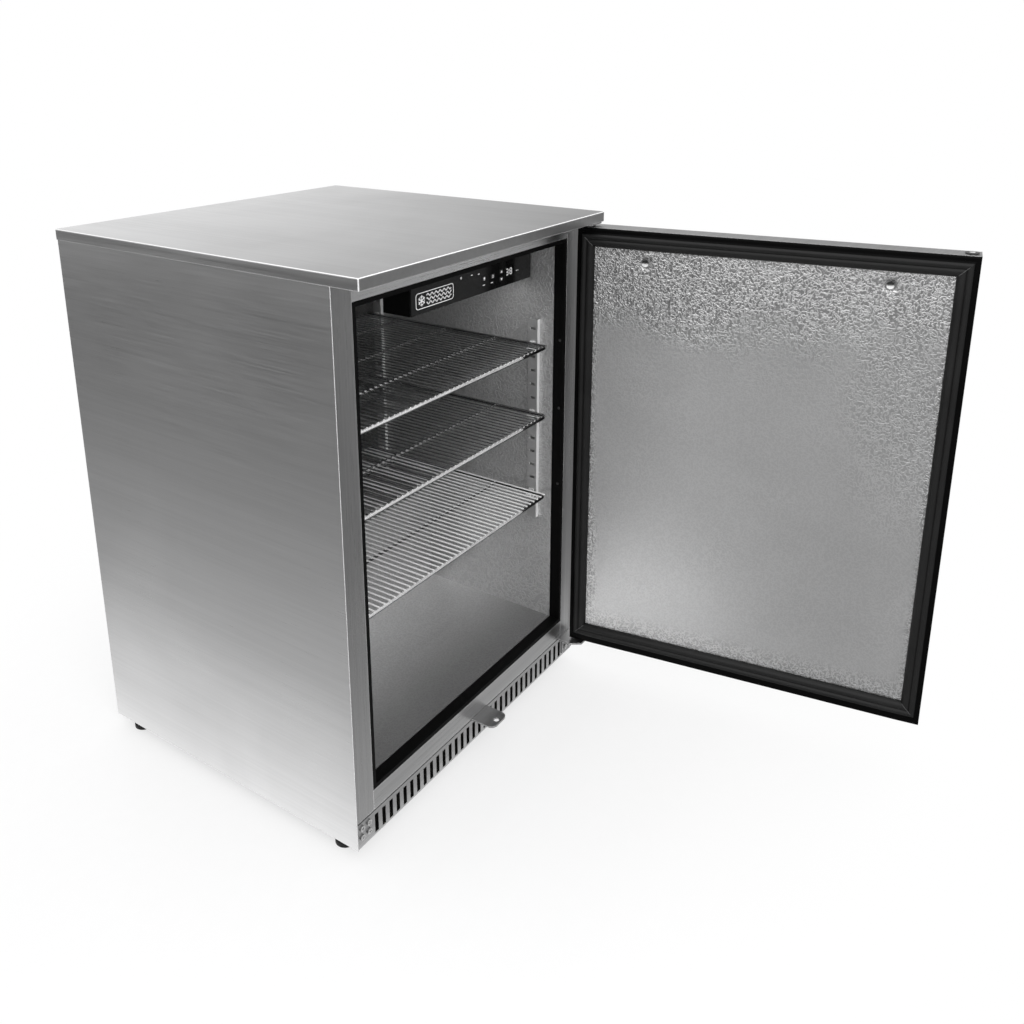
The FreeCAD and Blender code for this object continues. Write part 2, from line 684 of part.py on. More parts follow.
# ---------------------------------------------------------------- door handle and its bolts
bar_y = door_face - 40
handle = [cylinder("handle_bar", 7, 404, -202, bar_y, dims.bolt_z, "x")]
threads, bolts = [], []
for side in (-1, 1):
    i, x = side + 1, side * dims.bolt_x
    handle.append(cylinder("handle_post_%d" % i, 6.5, 39.9, x, bar_y, dims.bolt_z, "y"))
    threads.append(cylinder("handle_thread_%d" % i, 3.1, 24,
                            x, door_face - 22, dims.bolt_z, "y"))
    bolts.append(fuse(
        "handle_bolt_%d" % i,
        cylinder("bolt_head_%d" % i, 5.5, 2.4, x, door_rear - 0.2, dims.bolt_z, "y"),
        cylinder("bolt_shank_%d" % i, 3.0, dims.door_thick + 20.5,
                 x, door_face - 20, dims.bolt_z, "y")))
swing(node(cut("handle_cut", fuse("handle_solid", *handle), *threads), "door_handle"))
swing(node(group("bolt_pair", bolts), "handle_bolts"))

# ---------------------------------------------------------------- door lock
lock_z = dims.lock_z
barrel = fuse("barrel_solid",
              cylinder("barrel_rim", 11.5, 2, 0, door_face - 2.1, lock_z, "y"),
              cylinder("barrel_tube", 9.4, 12.4, 0, door_face - 1.5, lock_z, "y"))
bore = cylinder("barrel_bore", 7.05, 30, 0, door_face - 10, lock_z, "y")
swing(node(cut("barrel_cut", barrel, bore), "lock_barrel"))

# The off-centre pin on the core drives the bolt.
core = fuse("core_solid",
            cylinder("core_plug", 7.0, 13.6, 0, door_face - 2.4, lock_z, "y"),
            cylinder("core_pin", 1.5, 4.6, 0, door_face + 10.8,
                     lock_z + dims.lock_travel / 2, "y"))
key_slot = box("key_slot", -1.1, 1.1, door_face - 3, door_face + 3, lock_z - 4, lock_z + 4)
swing(node(cut("core_cut", core, key_slot), "lock_core"))

BOLT_ROD_LOW = 70.6
bolt = fuse("bolt_solid",
            box("bolt_plate", -9.5, 9.5, -dims.lock_y - 3.5, -dims.lock_y - 0.5,
                lock_z - 1.5, lock_z + 11.5),
            cylinder("bolt_rod", 3.5, lock_z - BOLT_ROD_LOW, 0, -dims.lock_y, BOLT_ROD_LOW))
window = box("bolt_window", -6.8, 6.8, -dims.lock_y - 5, -dims.lock_y + 5,
             lock_z + 5 - 2.8, lock_z + 5 + 2.8)
swing(node(cut("bolt_cut", bolt, window), "lock_bolt"))

# ---------------------------------------------------------------- hinge bushings and plugs
STEM_RADIUS, RIM_RADIUS = 6.9, 9.5
# tube z, tube length, rim z, rim height
BUSHINGS = ((65.4, 17.6, 65.4, 3.4), (820, 15, 834.1, 2.8))
PLUGS = ((66.9, 16, 66.9, 2.0), (820, 14.5, 834.1, 2.0))


def rimmed_stem(name, x, stem_z, stem_length, rim_z, rim_height):
    return fuse(name,
                cylinder(name + "_stem", STEM_RADIUS, stem_length, x, -dims.pivot_y, stem_z),
                cylinder(name + "_rim", RIM_RADIUS, rim_height, x, -dims.pivot_y, rim_z))


bushings = []
for i, sizes in enumerate(BUSHINGS):
    solid = rimmed_stem("bush_solid_%d" % i, dims.pivot_x, *sizes)
    bore = cylinder("bush_bore_%d" % i, dims.pin_diameter / 2 + 0.05, 40,
                    dims.pivot_x, -dims.pivot_y, sizes[0] - 5)
    bushings.append(cut("bush_%d" % i, solid, bore))
swing(node(group("bush_pair", bushings), "hinge_bushings"))

# The plugs fill the unused end holes on the side away from the hinge.
plugs = [rimmed_stem("plug_%d" % i, -dims.pivot_x, *sizes) for i, sizes in enumerate(PLUGS)]
swing(node(group("plug_pair", plugs), "bushing_plugs"))

# ---------------------------------------------------------------- ceiling control box
box_left, box_right = dims.control_x, dims.control_x + dims.control_length
box_low, box_high = dims.control_low, dims.cavity_high - 0.2
box_front = dims.control_front
HOUSING_WALL = 2.5
body = body_node("control_housing")
pad(body, "housing_plan", "XZ", box_front, dims.control_depth,
    rect(box_left, box_right, box_low, box_high), reverse=True)
pocket(body, "housing_hollow", "XZ", box_front, dims.control_depth - HOUSING_WALL,
       rect(box_left + HOUSING_WALL, box_right - HOUSING_WALL,
            box_low + HOUSING_WALL, box_high - HOUSING_WALL))
pocket(body, "lens_hole", "XY", box_low - 3, 8,
       rect(-50.2, 220.2, -box_front + 14.8, -box_front + 33.2))

# label, x, z
BUTTONS = (("button_up", 154.3, 769.6), ("button_down", 154.3, 757.4),
           ("button_light", 105.9, 766.9), ("button_power", 129.9, 766.5))


def button_rect(x, z, margin=0.0):
    """Outline of a button cap, grown by the margin."""
    return rect(x - 4.5 - margin, x + 4.5 + margin, z - 3.5 - margin, z + 3.5 + margin)


body = body_node("control_faceplate")
pad(body, "plate_face", "XZ", box_front + 0.1, 2.0,
    rect(box_left, box_right, box_low, box_high))
fillet(body, 0.8, at_y(-(box_front.value + 2.1)))
pocket(body, "button_holes", "XZ", box_front + 6, 10,
       *[button_rect(x, z, 0.2) for _, x, z in BUTTONS])
pocket(body, "display_seat", "XZ", box_front + 6, 4.9, rect(163, 193, 757.5, 773.5))
node(box("display_pane", 163.2, 192.8, -box_front - 2.3, -box_front - 1.2, 757.7, 773.3),
     "display_window")

for label, x, z in BUTTONS:
    body = body_node(label)
    pad(body, label + "_cap", "XZ", box_front - 0.4, 3.5, button_rect(x, z))
    fillet(body, 0.6, at_y(-(box_front.value + 3.1)))
    pad(body, label + "_foot", "XZ", box_front - 1.4, 1.2, button_rect(x, z, 0.9))

lens = box("lens_body", -50, 220, -box_front + 15, -box_front + 33, box_low - 1.5, box_low + 3)
lens_rim = box("lens_rim", -52, 222, -box_front + 13, -box_front + 35,
               box_low + 2.6, box_low + 3.8)
node(fuse("lens_solid", lens, lens_rim), "light_lens")

# ---------------------------------------------------------------- slotted shelf pilasters
HOLE_COUNT = 14
pilaster_ys = (("front", -dims.pilaster_front), ("rear", dims.pilaster_rear))
for side, label in ((-1, "pilasters_left"), (1, "pilasters_right")):
    wall = side * (half_cavity - 0.1)
    face = side * (half_cavity - dims.pilaster_depth)
    face_inside = side * (half_cavity - dims.pilaster_depth + dims.pilaster_skin)
    pair = []
    for place, y0 in pilaster_ys:
        y1, middle = y0 + dims.pilaster_width, y0 + dims.pilaster_width / 2
        body = doc.addObject("PartDesign::Body", "%s_%s" % (label, place))
        pad(body, "channel", "XY", dims.pilaster_low, dims.pilaster_high - dims.pilaster_low,
            [(wall, y0), (face, y0), (face, y1), (wall, y1),
             (wall, y1 - dims.pilaster_skin), (face_inside, y1 - dims.pilaster_skin),
             (face_inside, y0 + dims.pilaster_skin), (wall, y0 + dims.pilaster_skin)])
        pocket_row(body, "slot", "YZ", side * 240, 10,
                   rect(middle - 5.2, middle + 5.2, dims.hole_low - 2.1, dims.hole_low + 2.1),
                   "V_Axis", dims.hole_pitch * (HOLE_COUNT - 1), HOLE_COUNT)
        pair.append(body)
    node(group(label + "_pair", pair), label)

# ---------------------------------------------------------------- shelf clips, twelve alike
SHELVES = (("shelf_upper", dims.shelf_upper_z), ("shelf_middle", dims.shelf_middle_z),
           ("shelf_lower", dims.shelf_lower_z))
CLIP_WIDTH = 9.6
clip_x = (half_cavity - dims.pilaster_depth).value
rod_radius = dims.rod_radius.value


def shelf_clip(side, y, z):
    tab = Part.makeBox(2.4, CLIP_WIDTH, 16, Vector(clip_x - 2.5, y, z - 11))
    ledge = Part.makeBox(9.5, CLIP_WIDTH, 2.4, Vector(clip_x - 12.0, y, z - rod_radius - 2.5))
    hook = Part.makeBox(4.2, CLIP_WIDTH, 2.6, Vector(clip_x - 0.4, y, z + 1.0))
    clip = tab.fuse([ledge, hook]).removeSplitter()
    return clip.mirror(Vector(0, 0, 0), Vector(1, 0, 0)) if side < 0 else clip


clips = [shelf_clip(side, (y0 + dims.pilaster_width / 2).value - CLIP_WIDTH / 2, level.value)
         for _, level in SHELVES for side in (-1, 1) for _, y0 in pilaster_ys]
feature("shelf_clips", Part.makeCompound(clips))

# ---------------------------------------------------------------- wire shelves
FRAME_BEND = 9.0
CROSS_ROD_RADIUS = 2.4
CROSS_ROD_YS = (-143.5, -35.5, 72.5)
WIRE_OVERRUN = 1.6
shelf_x = dims.shelf_width.value / 2 - rod_radius
shelf_front, shelf_rear = -dims.shelf_front.value, dims.shelf_rear.value
wire_radius = dims.wire_radius.value
wire_z = rod_radius + wire_radius - 0.6    # the wires bite 0.6 into the frame


def rod(start, end, radius):
    return Part.makeCylinder(radius, (end - start).Length, start, end - start)


corners = [Vector(-shelf_x, shelf_front, 0), Vector(shelf_x, shelf_front, 0),
           Vector(shelf_x, shelf_rear, 0), Vector(-shelf_x, shelf_rear, 0)]
bends = [rounded_corner(corners[i - 1], corners[i], corners[(i + 1) % 4], FRAME_BEND)
         for i in (1, 2, 3, 0)]
edges, last = [], bends[-1][2]
for start, arc, end in bends:
    edges += [Part.makeLine(last, start), arc]
    last = end
shelf_parts = [sweep(edges, rod_radius, Vector(0, shelf_front, 0), Vector(1, 0, 0))]
for y in CROSS_ROD_YS:
    shelf_parts.append(rod(Vector(-shelf_x, y, 0), Vector(shelf_x, y, 0), CROSS_ROD_RADIUS))
wire_count = int(dims.wire_count.value)
for i in range(wire_count):
    x = (i - (wire_count - 1) / 2.0) * dims.wire_pitch.value
    shelf_parts.append(rod(Vector(x, shelf_front - WIRE_OVERRUN, wire_z),
                           Vector(x, shelf_rear + WIRE_OVERRUN, wire_z), wire_radius))
shelf_shape = single_solid(shelf_parts[0].fuse(shelf_parts[1:]))
for label, level in SHELVES:
    put(feature(label, shelf_shape.copy()), 0, 0, level)

# ---------------------------------------------------------------- evaporator, its cover and fan
fan_z = dims.evaporator_fan_z
cover_offset = -(dims.cavity_back - 0.2)
louvre_offset = -(dims.cavity_back - 80)
COVER_DEPTH, COVER_SKIN = 68, 1.2
body = body_node("evaporator_cover")
pad(body, "cover_outer", "XZ", cover_offset, COVER_DEPTH, rect(-215, 215, 330, 795))
pocket(body, "cover_hollow", "XZ", cover_offset, COVER_DEPTH - COVER_SKIN,
       rect(-215 + COVER_SKIN, 215 - COVER_SKIN, 330 + COVER_SKIN, 795 - COVER_SKIN))
pocket_row(body, "intake", "XZ", louvre_offset, 20,
           rect(-50, 50, fan_z - 48, fan_z - 42), "V_Axis", 90, 9)
pocket(body, "line_notch", "XY", 325, 10, rect(LINE_X - 11, LINE_X + 11, LINE_Y - 11, 240))
pocket_row(body, "outlet", "XZ", louvre_offset, 20, rect(-150, 150, 744, 750),
           "V_Axis", 36, 4)

body = body_node("evaporator_coil")
pad(body, "fin_block", "XY", 560, 170, rect(-150, 150, 186, 228))
pocket_row(body, "fin_gap", "XZ", -180, 32, rect(-146, -140, 555, 735), "H_Axis", 280, 36)

node(fuse("evap_motor_solid",
          cylinder("evap_motor_can", 27, 30, 0, 192, fan_z, "y"),
          cylinder("evap_shaft", 2.5, 26, 0, 168, fan_z, "y"),
          box("evap_bracket", -180, 180, 218, 222, fan_z - 8, fan_z + 8)),
     "evaporator_fan_motor")


def rotor(label, tip_radius, hub_radius, thick, bore_radius, x, y, z):
    """Five-bladed fan rotor, drawn round the body's own Y axis and then placed."""
    def polar_point(radius, angle):
        return radius * math.cos(angle), radius * math.sin(angle)

    body = body_node(label)
    pad(body, label + "_hub", "XZ", 0, thick, (0, 0, hub_radius), reverse=True)
    root = hub_radius - 1.5
    blade_outline = [
        polar_point(root, -0.5), polar_point(tip_radius, -0.28), (tip_radius, 0.01),
        polar_point(tip_radius, 0.28), polar_point(tip_radius * 0.98, 0.55),
        polar_point(root, 0.5)]
    blade = pad(body, label + "_blade", "XZ", -thick * 0.4, thick * 0.18, blade_outline,
                reverse=True)
    blades = body.newObject("PartDesign::PolarPattern", "PolarPattern")
    blades.Originals = [blade]
    blades.Axis = (origin_feature(body, "Y_Axis"), [""])
    blades.Angle = 360
    blades.Occurrences = 5
    body.Tip = blades
    doc.recompute()
    pocket(body, label + "_bore", "XZ", 5, thick + 10, (0, 0, bore_radius))
    put(body, x, y, z)


rotor("evaporator_fan_blade", tip_radius=54, hub_radius=16, thick=14, bore_radius=2.55,
      x=0, y=172, z=fan_z)

# ---------------------------------------------------------------- compressor on rubber mounts
centre_x, centre_y = dims.compressor_x, dims.compressor_y
shell_x = centre_x + dims.compressor_radius
# Half section of the shell, (x, z), from the bottom up, with a seam band at mid height
shell_section = [
    (centre_x, 46), (shell_x - 24, 46), (shell_x - 6, 58), (shell_x, 74),
    (shell_x, 124), (shell_x + 3, 126), (shell_x + 3, 131), (shell_x, 133),
    (shell_x - 2, 178), (shell_x - 20, 202), (shell_x - 44, 212), (centre_x, 214)]
body = body_node("compressor")
profile = sketch(body, "shell_section", "XZ", -centre_y, shell_section)
axis_ends = Vector(centre_x.value, 0, 0), Vector(centre_x.value, 250, 0)
axis_line = profile.addGeometry(Part.LineSegment(*axis_ends), True)
profile.addConstraint(Sketcher.Constraint("Vertical", axis_line))
pin_point(profile, axis_line, 1, centre_x, dim(0))
profile.addConstraint(Sketcher.Constraint("DistanceY", axis_line, 1, axis_line, 2, 250))
revolve(body, profile, "Axis0")
pad(body, "foot_plate", "XY", 38, 2.5,
    rect(centre_x - 95, centre_x + 95, centre_y - 62, centre_y + 62))
pad(body, "pedestal", "XY", 38, 12, (centre_x, centre_y, 40))
pocket(body, "foot_plate_holes", "XY", 30, 14,
       *[(centre_x + dx, centre_y + dy, 5.2) for dx, dy in MOUNT_OFFSETS])

mounts = []
for i, (dx, dy) in enumerate(MOUNT_OFFSETS):
    x, y, z = centre_x + dx, centre_y + dy, dims.pan_z + 1.6
    solid = fuse("mount_solid_%d" % i,
                 cylinder("mount_foot_%d" % i, 10, 16.2, x, y, z),
                 cylinder("mount_neck_%d" % i, 5.0, 22.5, x, y, z))
    bore = cylinder("mount_bore_%d" % i, 2.6, 40, x, y, dims.pan_z)
    mounts.append(cut("mount_%d" % i, solid, bore))
node(group("mount_set", mounts), "compressor_mounts")

node(cut("relay_cut", box("relay_box", -44.5, -18, 148, 202, 98, 166),
         box("relay_hollow", -45, -20, 150, 200, 100, 164)), "relay_cover")

# ---------------------------------------------------------------- condenser, shroud and fan
coil_x, coil_z = dims.condenser_x, dims.condenser_z
body = body_node("condenser_coil")
pad(body, "condenser_plan", "XY", 25, 208, rect(coil_x - 100, coil_x + 100, 75, 123))
pocket_row(body, "condenser_gap", "XZ", -70, 44, rect(coil_x - 96, coil_x - 91, 20, 240),
           "H_Axis", 187, 23)

SHROUD_BORE = 90
body = body_node("condenser_shroud")
pad(body, "shroud_plate", "XZ", -126, 2.0, rect(coil_x - 104, coil_x + 104, 24, 236),
    (coil_x, coil_z, SHROUD_BORE))
pad(body, "shroud_ring", "XZ", -150, 25, (coil_x, coil_z, SHROUD_BORE + 2),
    (coil_x, coil_z, SHROUD_BORE))

leg_low, leg_high = coil_z - 9, coil_z + 9
node(fuse("cond_motor_solid",
          cylinder("cond_motor_can", 31, 46, coil_x, 157, coil_z, "y"),
          cylinder("cond_shaft", 3.0, 30, coil_x, 130, coil_z, "y"),
          box("cond_bracket", coil_x - 101, coil_x + 101, 154, 157.5, leg_low, leg_high),
          box("cond_leg_a", coil_x - 101, coil_x - 96, 126.1, 157.5, leg_low, leg_high),
          box("cond_leg_b", coil_x + 96, coil_x + 101, 126.1, 157.5, leg_low, leg_high)),
     "condenser_fan_motor")
rotor("condenser_fan_blade", tip_radius=84, hub_radius=20, thick=16, bore_radius=3.05,
      x=coil_x, y=133, z=coil_z)

# ---------------------------------------------------------------- refrigerant lines
# Corner points of each run, (x, y, z)
SUCTION_PATH = [
    (-150, 243.5, 150), (-150, 256, 150), (LINE_X, 256, 150), (LINE_X, 256, 235),
    (LINE_X, LINE_Y, 235), (LINE_X, LINE_Y, 540), (-160, 207, 540), (-160, 207, 600),
    (-150.3, 207, 600)]
DISCHARGE_PATH = [
    (-90, 108, 120), (-90, 66, 120), (-90, 66, 246), (80, 66, 246), (80, 99, 246),
    (80, 99, 233.3)]
feature("refrigerant_lines", Part.makeCompound([tube(SUCTION_PATH, 4.0, 9.0),
                                                tube(DISCHARGE_PATH, 3.0, 7.0)]))

# ---------------------------------------------------------------- filter drier and thin tube
DRIER_X, DRIER_Y = 10, 92
CAPILLARY_PATH = [
    (DRIER_X, DRIER_Y, 187), (DRIER_X, DRIER_Y, 205), (10, 240, 205), (-208, 240, 205),
    (-208, 222, 215), (-208, 222, 556), (-168, 215, 640), (-150.3, 215, 640)]
drier = Part.makeCylinder(9, 92, Vector(DRIER_X, DRIER_Y, 84)).fuse([
    Part.makeCone(9, 3, 12, Vector(DRIER_X, DRIER_Y, 175.9)),
    Part.makeCone(3, 9, 12, Vector(DRIER_X, DRIER_Y, 72.1)),
    tube(CAPILLARY_PATH, 1.2, 5.0)])
feature("filter_drier", single_solid(drier))

# ---------------------------------------------------------------- drip tray
body = body_node("drip_tray")
pad(body, "tray_plan", "XY", 24, 38, rect(-286, -234, 80, 215))
pocket(body, "tray_hollow", "XY", 64, 38, rect(-284, -236, 82, 213))

# ---------------------------------------------------------------- power cord with moulded plug
PIN_X = 222.6
cord = tube([(0, 240, 50), (0, 292, 50), (0, 292, 10), (190, 292, 10)], 3.5, 14.0)
grip = Part.makeCone(6.0, 4.0, 14, Vector(0, 272.6, 50), Vector(0, 1, 0))
plug = Part.makeBox(34, 26, 24, Vector(189, 279, 3))
plug = plug.makeFillet(4.0, plug.Edges)
pins = [Part.makeBox(18, 1.6, 6.4, Vector(PIN_X, 285, 12)),
        Part.makeBox(18, 1.6, 6.4, Vector(PIN_X, 297, 12)),
        Part.makeCylinder(2.4, 20, Vector(PIN_X, 292, 7.5), Vector(1, 0, 0))]
feature("power_cord", cord.fuse([grip, plug] + pins).removeSplitter())

# ---------------------------------------------------------------- levelling feet
# Half section, (radius, z): pad, collar and stud
foot_section = [
    (0, 0), (dims.pad_radius - 1.5, 0), (dims.pad_radius, 1.5), (dims.pad_radius, 8),
    (dims.pad_radius - 2, 11.5), (7.5, 14), (7.5, 19), (dims.stud_radius, 19),
    (dims.stud_radius, 46), (0, 46)]
for place, y in (("front", -dims.foot_front), ("rear", dims.foot_rear)):
    for hand, x in (("left", -dims.foot_x), ("right", dims.foot_x)):
        label = "foot_%s_%s" % (place, hand)
        body = body_node(label)
        revolve(body, sketch(body, label + "_section", "XZ", 0, foot_section), "V_Axis")
        put(body, x, y, 0)

doc.recompute()

# ---------------------------------------------------------------- lower every piece to the origin
for obj in nodes.values():
    at = obj.Placement
    lowered = Vector(at.Base.x, at.Base.y, at.Base.z - dims.pan_z.value)
    obj.Placement = Placement(lowered, at.Rotation)
    drawn = [text for path, text in obj.ExpressionEngine
             if path.lstrip(".") == "Placement.Base.z"]
    if drawn:
        obj.setExpression("Placement.Base.z", "(%s) - dims.pan_z" % drawn[0])
    elif at.Base.z == 0:
        obj.setExpression("Placement.Base.z", "0 - dims.pan_z")
doc.recompute()

# ---------------------------------------------------------------- checks and export
bad = ["%s: %s" % (obj.Label, obj.State) for obj in doc.Objects
       if "Invalid" in obj.State or "Error" in obj.State]
for label, obj in nodes.items():
    if obj.Shape.isNull() or not obj.Shape.isValid() or not obj.Shape.Solids:
        bad.append("%s: shape null or invalid" % label)
if bad:
    raise RuntimeError("; ".join(bad))
os.makedirs("parts", exist_ok=True)
for label, obj in nodes.items():
    obj.Shape.exportStep(os.path.join("parts", label + ".step"))
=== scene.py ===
import bpy
import json
import math
import numpy as np
from mathutils import Vector, Matrix, noise


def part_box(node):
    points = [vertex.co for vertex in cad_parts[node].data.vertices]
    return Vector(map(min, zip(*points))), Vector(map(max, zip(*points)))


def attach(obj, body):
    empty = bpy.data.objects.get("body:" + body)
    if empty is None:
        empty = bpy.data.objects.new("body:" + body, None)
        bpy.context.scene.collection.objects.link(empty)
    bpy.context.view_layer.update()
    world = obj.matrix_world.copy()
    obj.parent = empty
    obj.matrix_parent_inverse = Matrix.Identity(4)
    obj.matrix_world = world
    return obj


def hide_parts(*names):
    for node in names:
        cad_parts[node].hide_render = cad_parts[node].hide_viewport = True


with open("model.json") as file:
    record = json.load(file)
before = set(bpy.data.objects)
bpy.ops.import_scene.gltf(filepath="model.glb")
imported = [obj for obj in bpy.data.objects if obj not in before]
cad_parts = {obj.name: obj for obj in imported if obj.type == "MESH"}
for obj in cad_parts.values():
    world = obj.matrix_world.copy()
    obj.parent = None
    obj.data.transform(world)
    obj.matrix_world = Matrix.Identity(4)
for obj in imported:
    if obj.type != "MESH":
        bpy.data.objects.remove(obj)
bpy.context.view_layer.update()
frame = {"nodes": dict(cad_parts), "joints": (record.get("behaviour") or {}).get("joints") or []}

scene = bpy.context.scene
scene.view_settings.view_transform = "Standard"
nodes = frame["nodes"]

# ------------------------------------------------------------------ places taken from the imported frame
swing = [j for j in frame["joints"] if j["name"] == "door_swing"][0]
OPEN = math.radians(-swing["range_deg"][0])
PIVOT = Vector(swing["pos_m"])
PIVOT.z = 0.0
DOOR = Matrix.Translation(PIVOT) @ Matrix.Rotation(OPEN, 4, "Z") @ Matrix.Translation(-PIVOT)
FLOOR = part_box("foot_front_left")[0].z


# ------------------------------------------------------------------ shader helpers
class Graph:
    def __init__(self, name):
        self.mat = bpy.data.materials.new(name)
        self.mat.use_nodes = True
        self.nt = self.mat.node_tree
        self.nt.nodes.clear()
        self.out = self.add("ShaderNodeOutputMaterial")

    def add(self, kind, **props):
        n = self.nt.nodes.new(kind)
        for k, v in props.items():
            setattr(n, k, v)
        return n

    def link(self, a, b):
        self.nt.links.new(a, b)

    def put(self, sock, value):
        if isinstance(value, bpy.types.NodeSocket):
            self.link(value, sock)
        elif value is not None:
            sock.default_value = value

    def coords(self, scale=(1, 1, 1), rot=(0, 0, 0), loc=(0, 0, 0)):
        tc = self.add("ShaderNodeTexCoord")
        mp = self.add("ShaderNodeMapping")
        mp.inputs["Scale"].default_value = scale
        mp.inputs["Rotation"].default_value = rot
        mp.inputs["Location"].default_value = loc
        self.link(tc.outputs["Object"], mp.inputs["Vector"])
        return mp.outputs["Vector"]

    def noise(self, vec, scale=1.0, detail=2.0, rough=0.5, distort=0.0):
        n = self.add("ShaderNodeTexNoise")
        self.link(vec, n.inputs["Vector"])
        n.inputs["Scale"].default_value = scale
        n.inputs["Detail"].default_value = detail
        n.inputs["Roughness"].default_value = rough
        n.inputs["Distortion"].default_value = distort
        return n.outputs["Fac"]

    def remap(self, value, a, b, c, d, smooth=False):
        m = self.add("ShaderNodeMapRange")
        if smooth:
            m.interpolation_type = "SMOOTHSTEP"
        self.put(m.inputs["Value"], value)
        for k, v in zip(("From Min", "From Max", "To Min", "To Max"), (a, b, c, d)):
            self.put(m.inputs[k], v)
        return m.outputs["Result"]

    def math(self, op, a, b=None, clamp=False):
        m = self.add("ShaderNodeMath", operation=op, use_clamp=clamp)
        self.put(m.inputs[0], a)
        if b is not None:
            self.put(m.inputs[1], b)
        return m.outputs[0]

    def ramp(self, value, span, stops):
        """Piecewise-linear grey curve of value over 0..span."""
        top = max(v for _, v in stops)
        n = self.add("ShaderNodeValToRGB")
        self.link(self.math("DIVIDE", value, span, clamp=True), n.inputs[0])
        el = n.color_ramp.elements
        while len(el) > 1:
            el.remove(el[0])
        for i, (x, v) in enumerate(stops):
            e = el[0] if i == 0 else el.new(x / span)
            e.position = x / span
            e.color = (v / top, v / top, v / top, 1.0)
        return self.math("MULTIPLY", n.outputs["Color"], top)

    def mix(self, fac, a, b, kind="RGBA"):
        m = self.add("ShaderNodeMix", data_type=kind)
        if kind == "RGBA":
            self.put(m.inputs[0], fac)
            self.put(m.inputs[6], a)
            self.put(m.inputs[7], b)
            return m.outputs[2]
        self.put(m.inputs[0], fac)
        self.put(m.inputs[2], a)
        self.put(m.inputs[3], b)
        return m.outputs[0]

    def bump(self, height, strength, distance, normal=None, invert=False):
        b = self.add("ShaderNodeBump", invert=invert)
        self.put(b.inputs["Strength"], strength)
        b.inputs["Distance"].default_value = distance
        self.link(height, b.inputs["Height"])
        if normal is not None:
            self.link(normal, b.inputs["Normal"])
        return b.outputs["Normal"]

    def edge(self, radius, gain=1.0, samples=4):
        """(rounded normal, mask that is 1 on edges)"""
        bv = self.add("ShaderNodeBevel", samples=samples)
        bv.inputs["Radius"].default_value = radius
        geo = self.add("ShaderNodeNewGeometry")
        dot = self.add("ShaderNodeVectorMath", operation="DOT_PRODUCT")
        self.link(bv.outputs["Normal"], dot.inputs[0])
        self.link(geo.outputs["Normal"], dot.inputs[1])
        mask = self.remap(dot.outputs["Value"], 1.0, 0.72, 0.0, gain)
        return bv.outputs["Normal"], mask

    def bsdf(self, color, metallic=0.0, rough=0.5, normal=None, **extra):
        b = self.add("ShaderNodeBsdfPrincipled")
        self.put(b.inputs["Base Color"], color)
        self.put(b.inputs["Metallic"], metallic)
        self.put(b.inputs["Roughness"], rough)
        if normal is not None:
            self.link(normal, b.inputs["Normal"])
        for k, v in extra.items():
            self.put(b.inputs[k.replace("_", " ")], v)
        self.link(b.outputs[0], self.out.inputs["Surface"])
        return b


def grey(v, a=1.0):
    return (v, v, v * 1.004, a)


def grain_scale(axis, across, along):
    s = [across] * 3
    s["XYZ".index(axis)] = along
    return tuple(s)


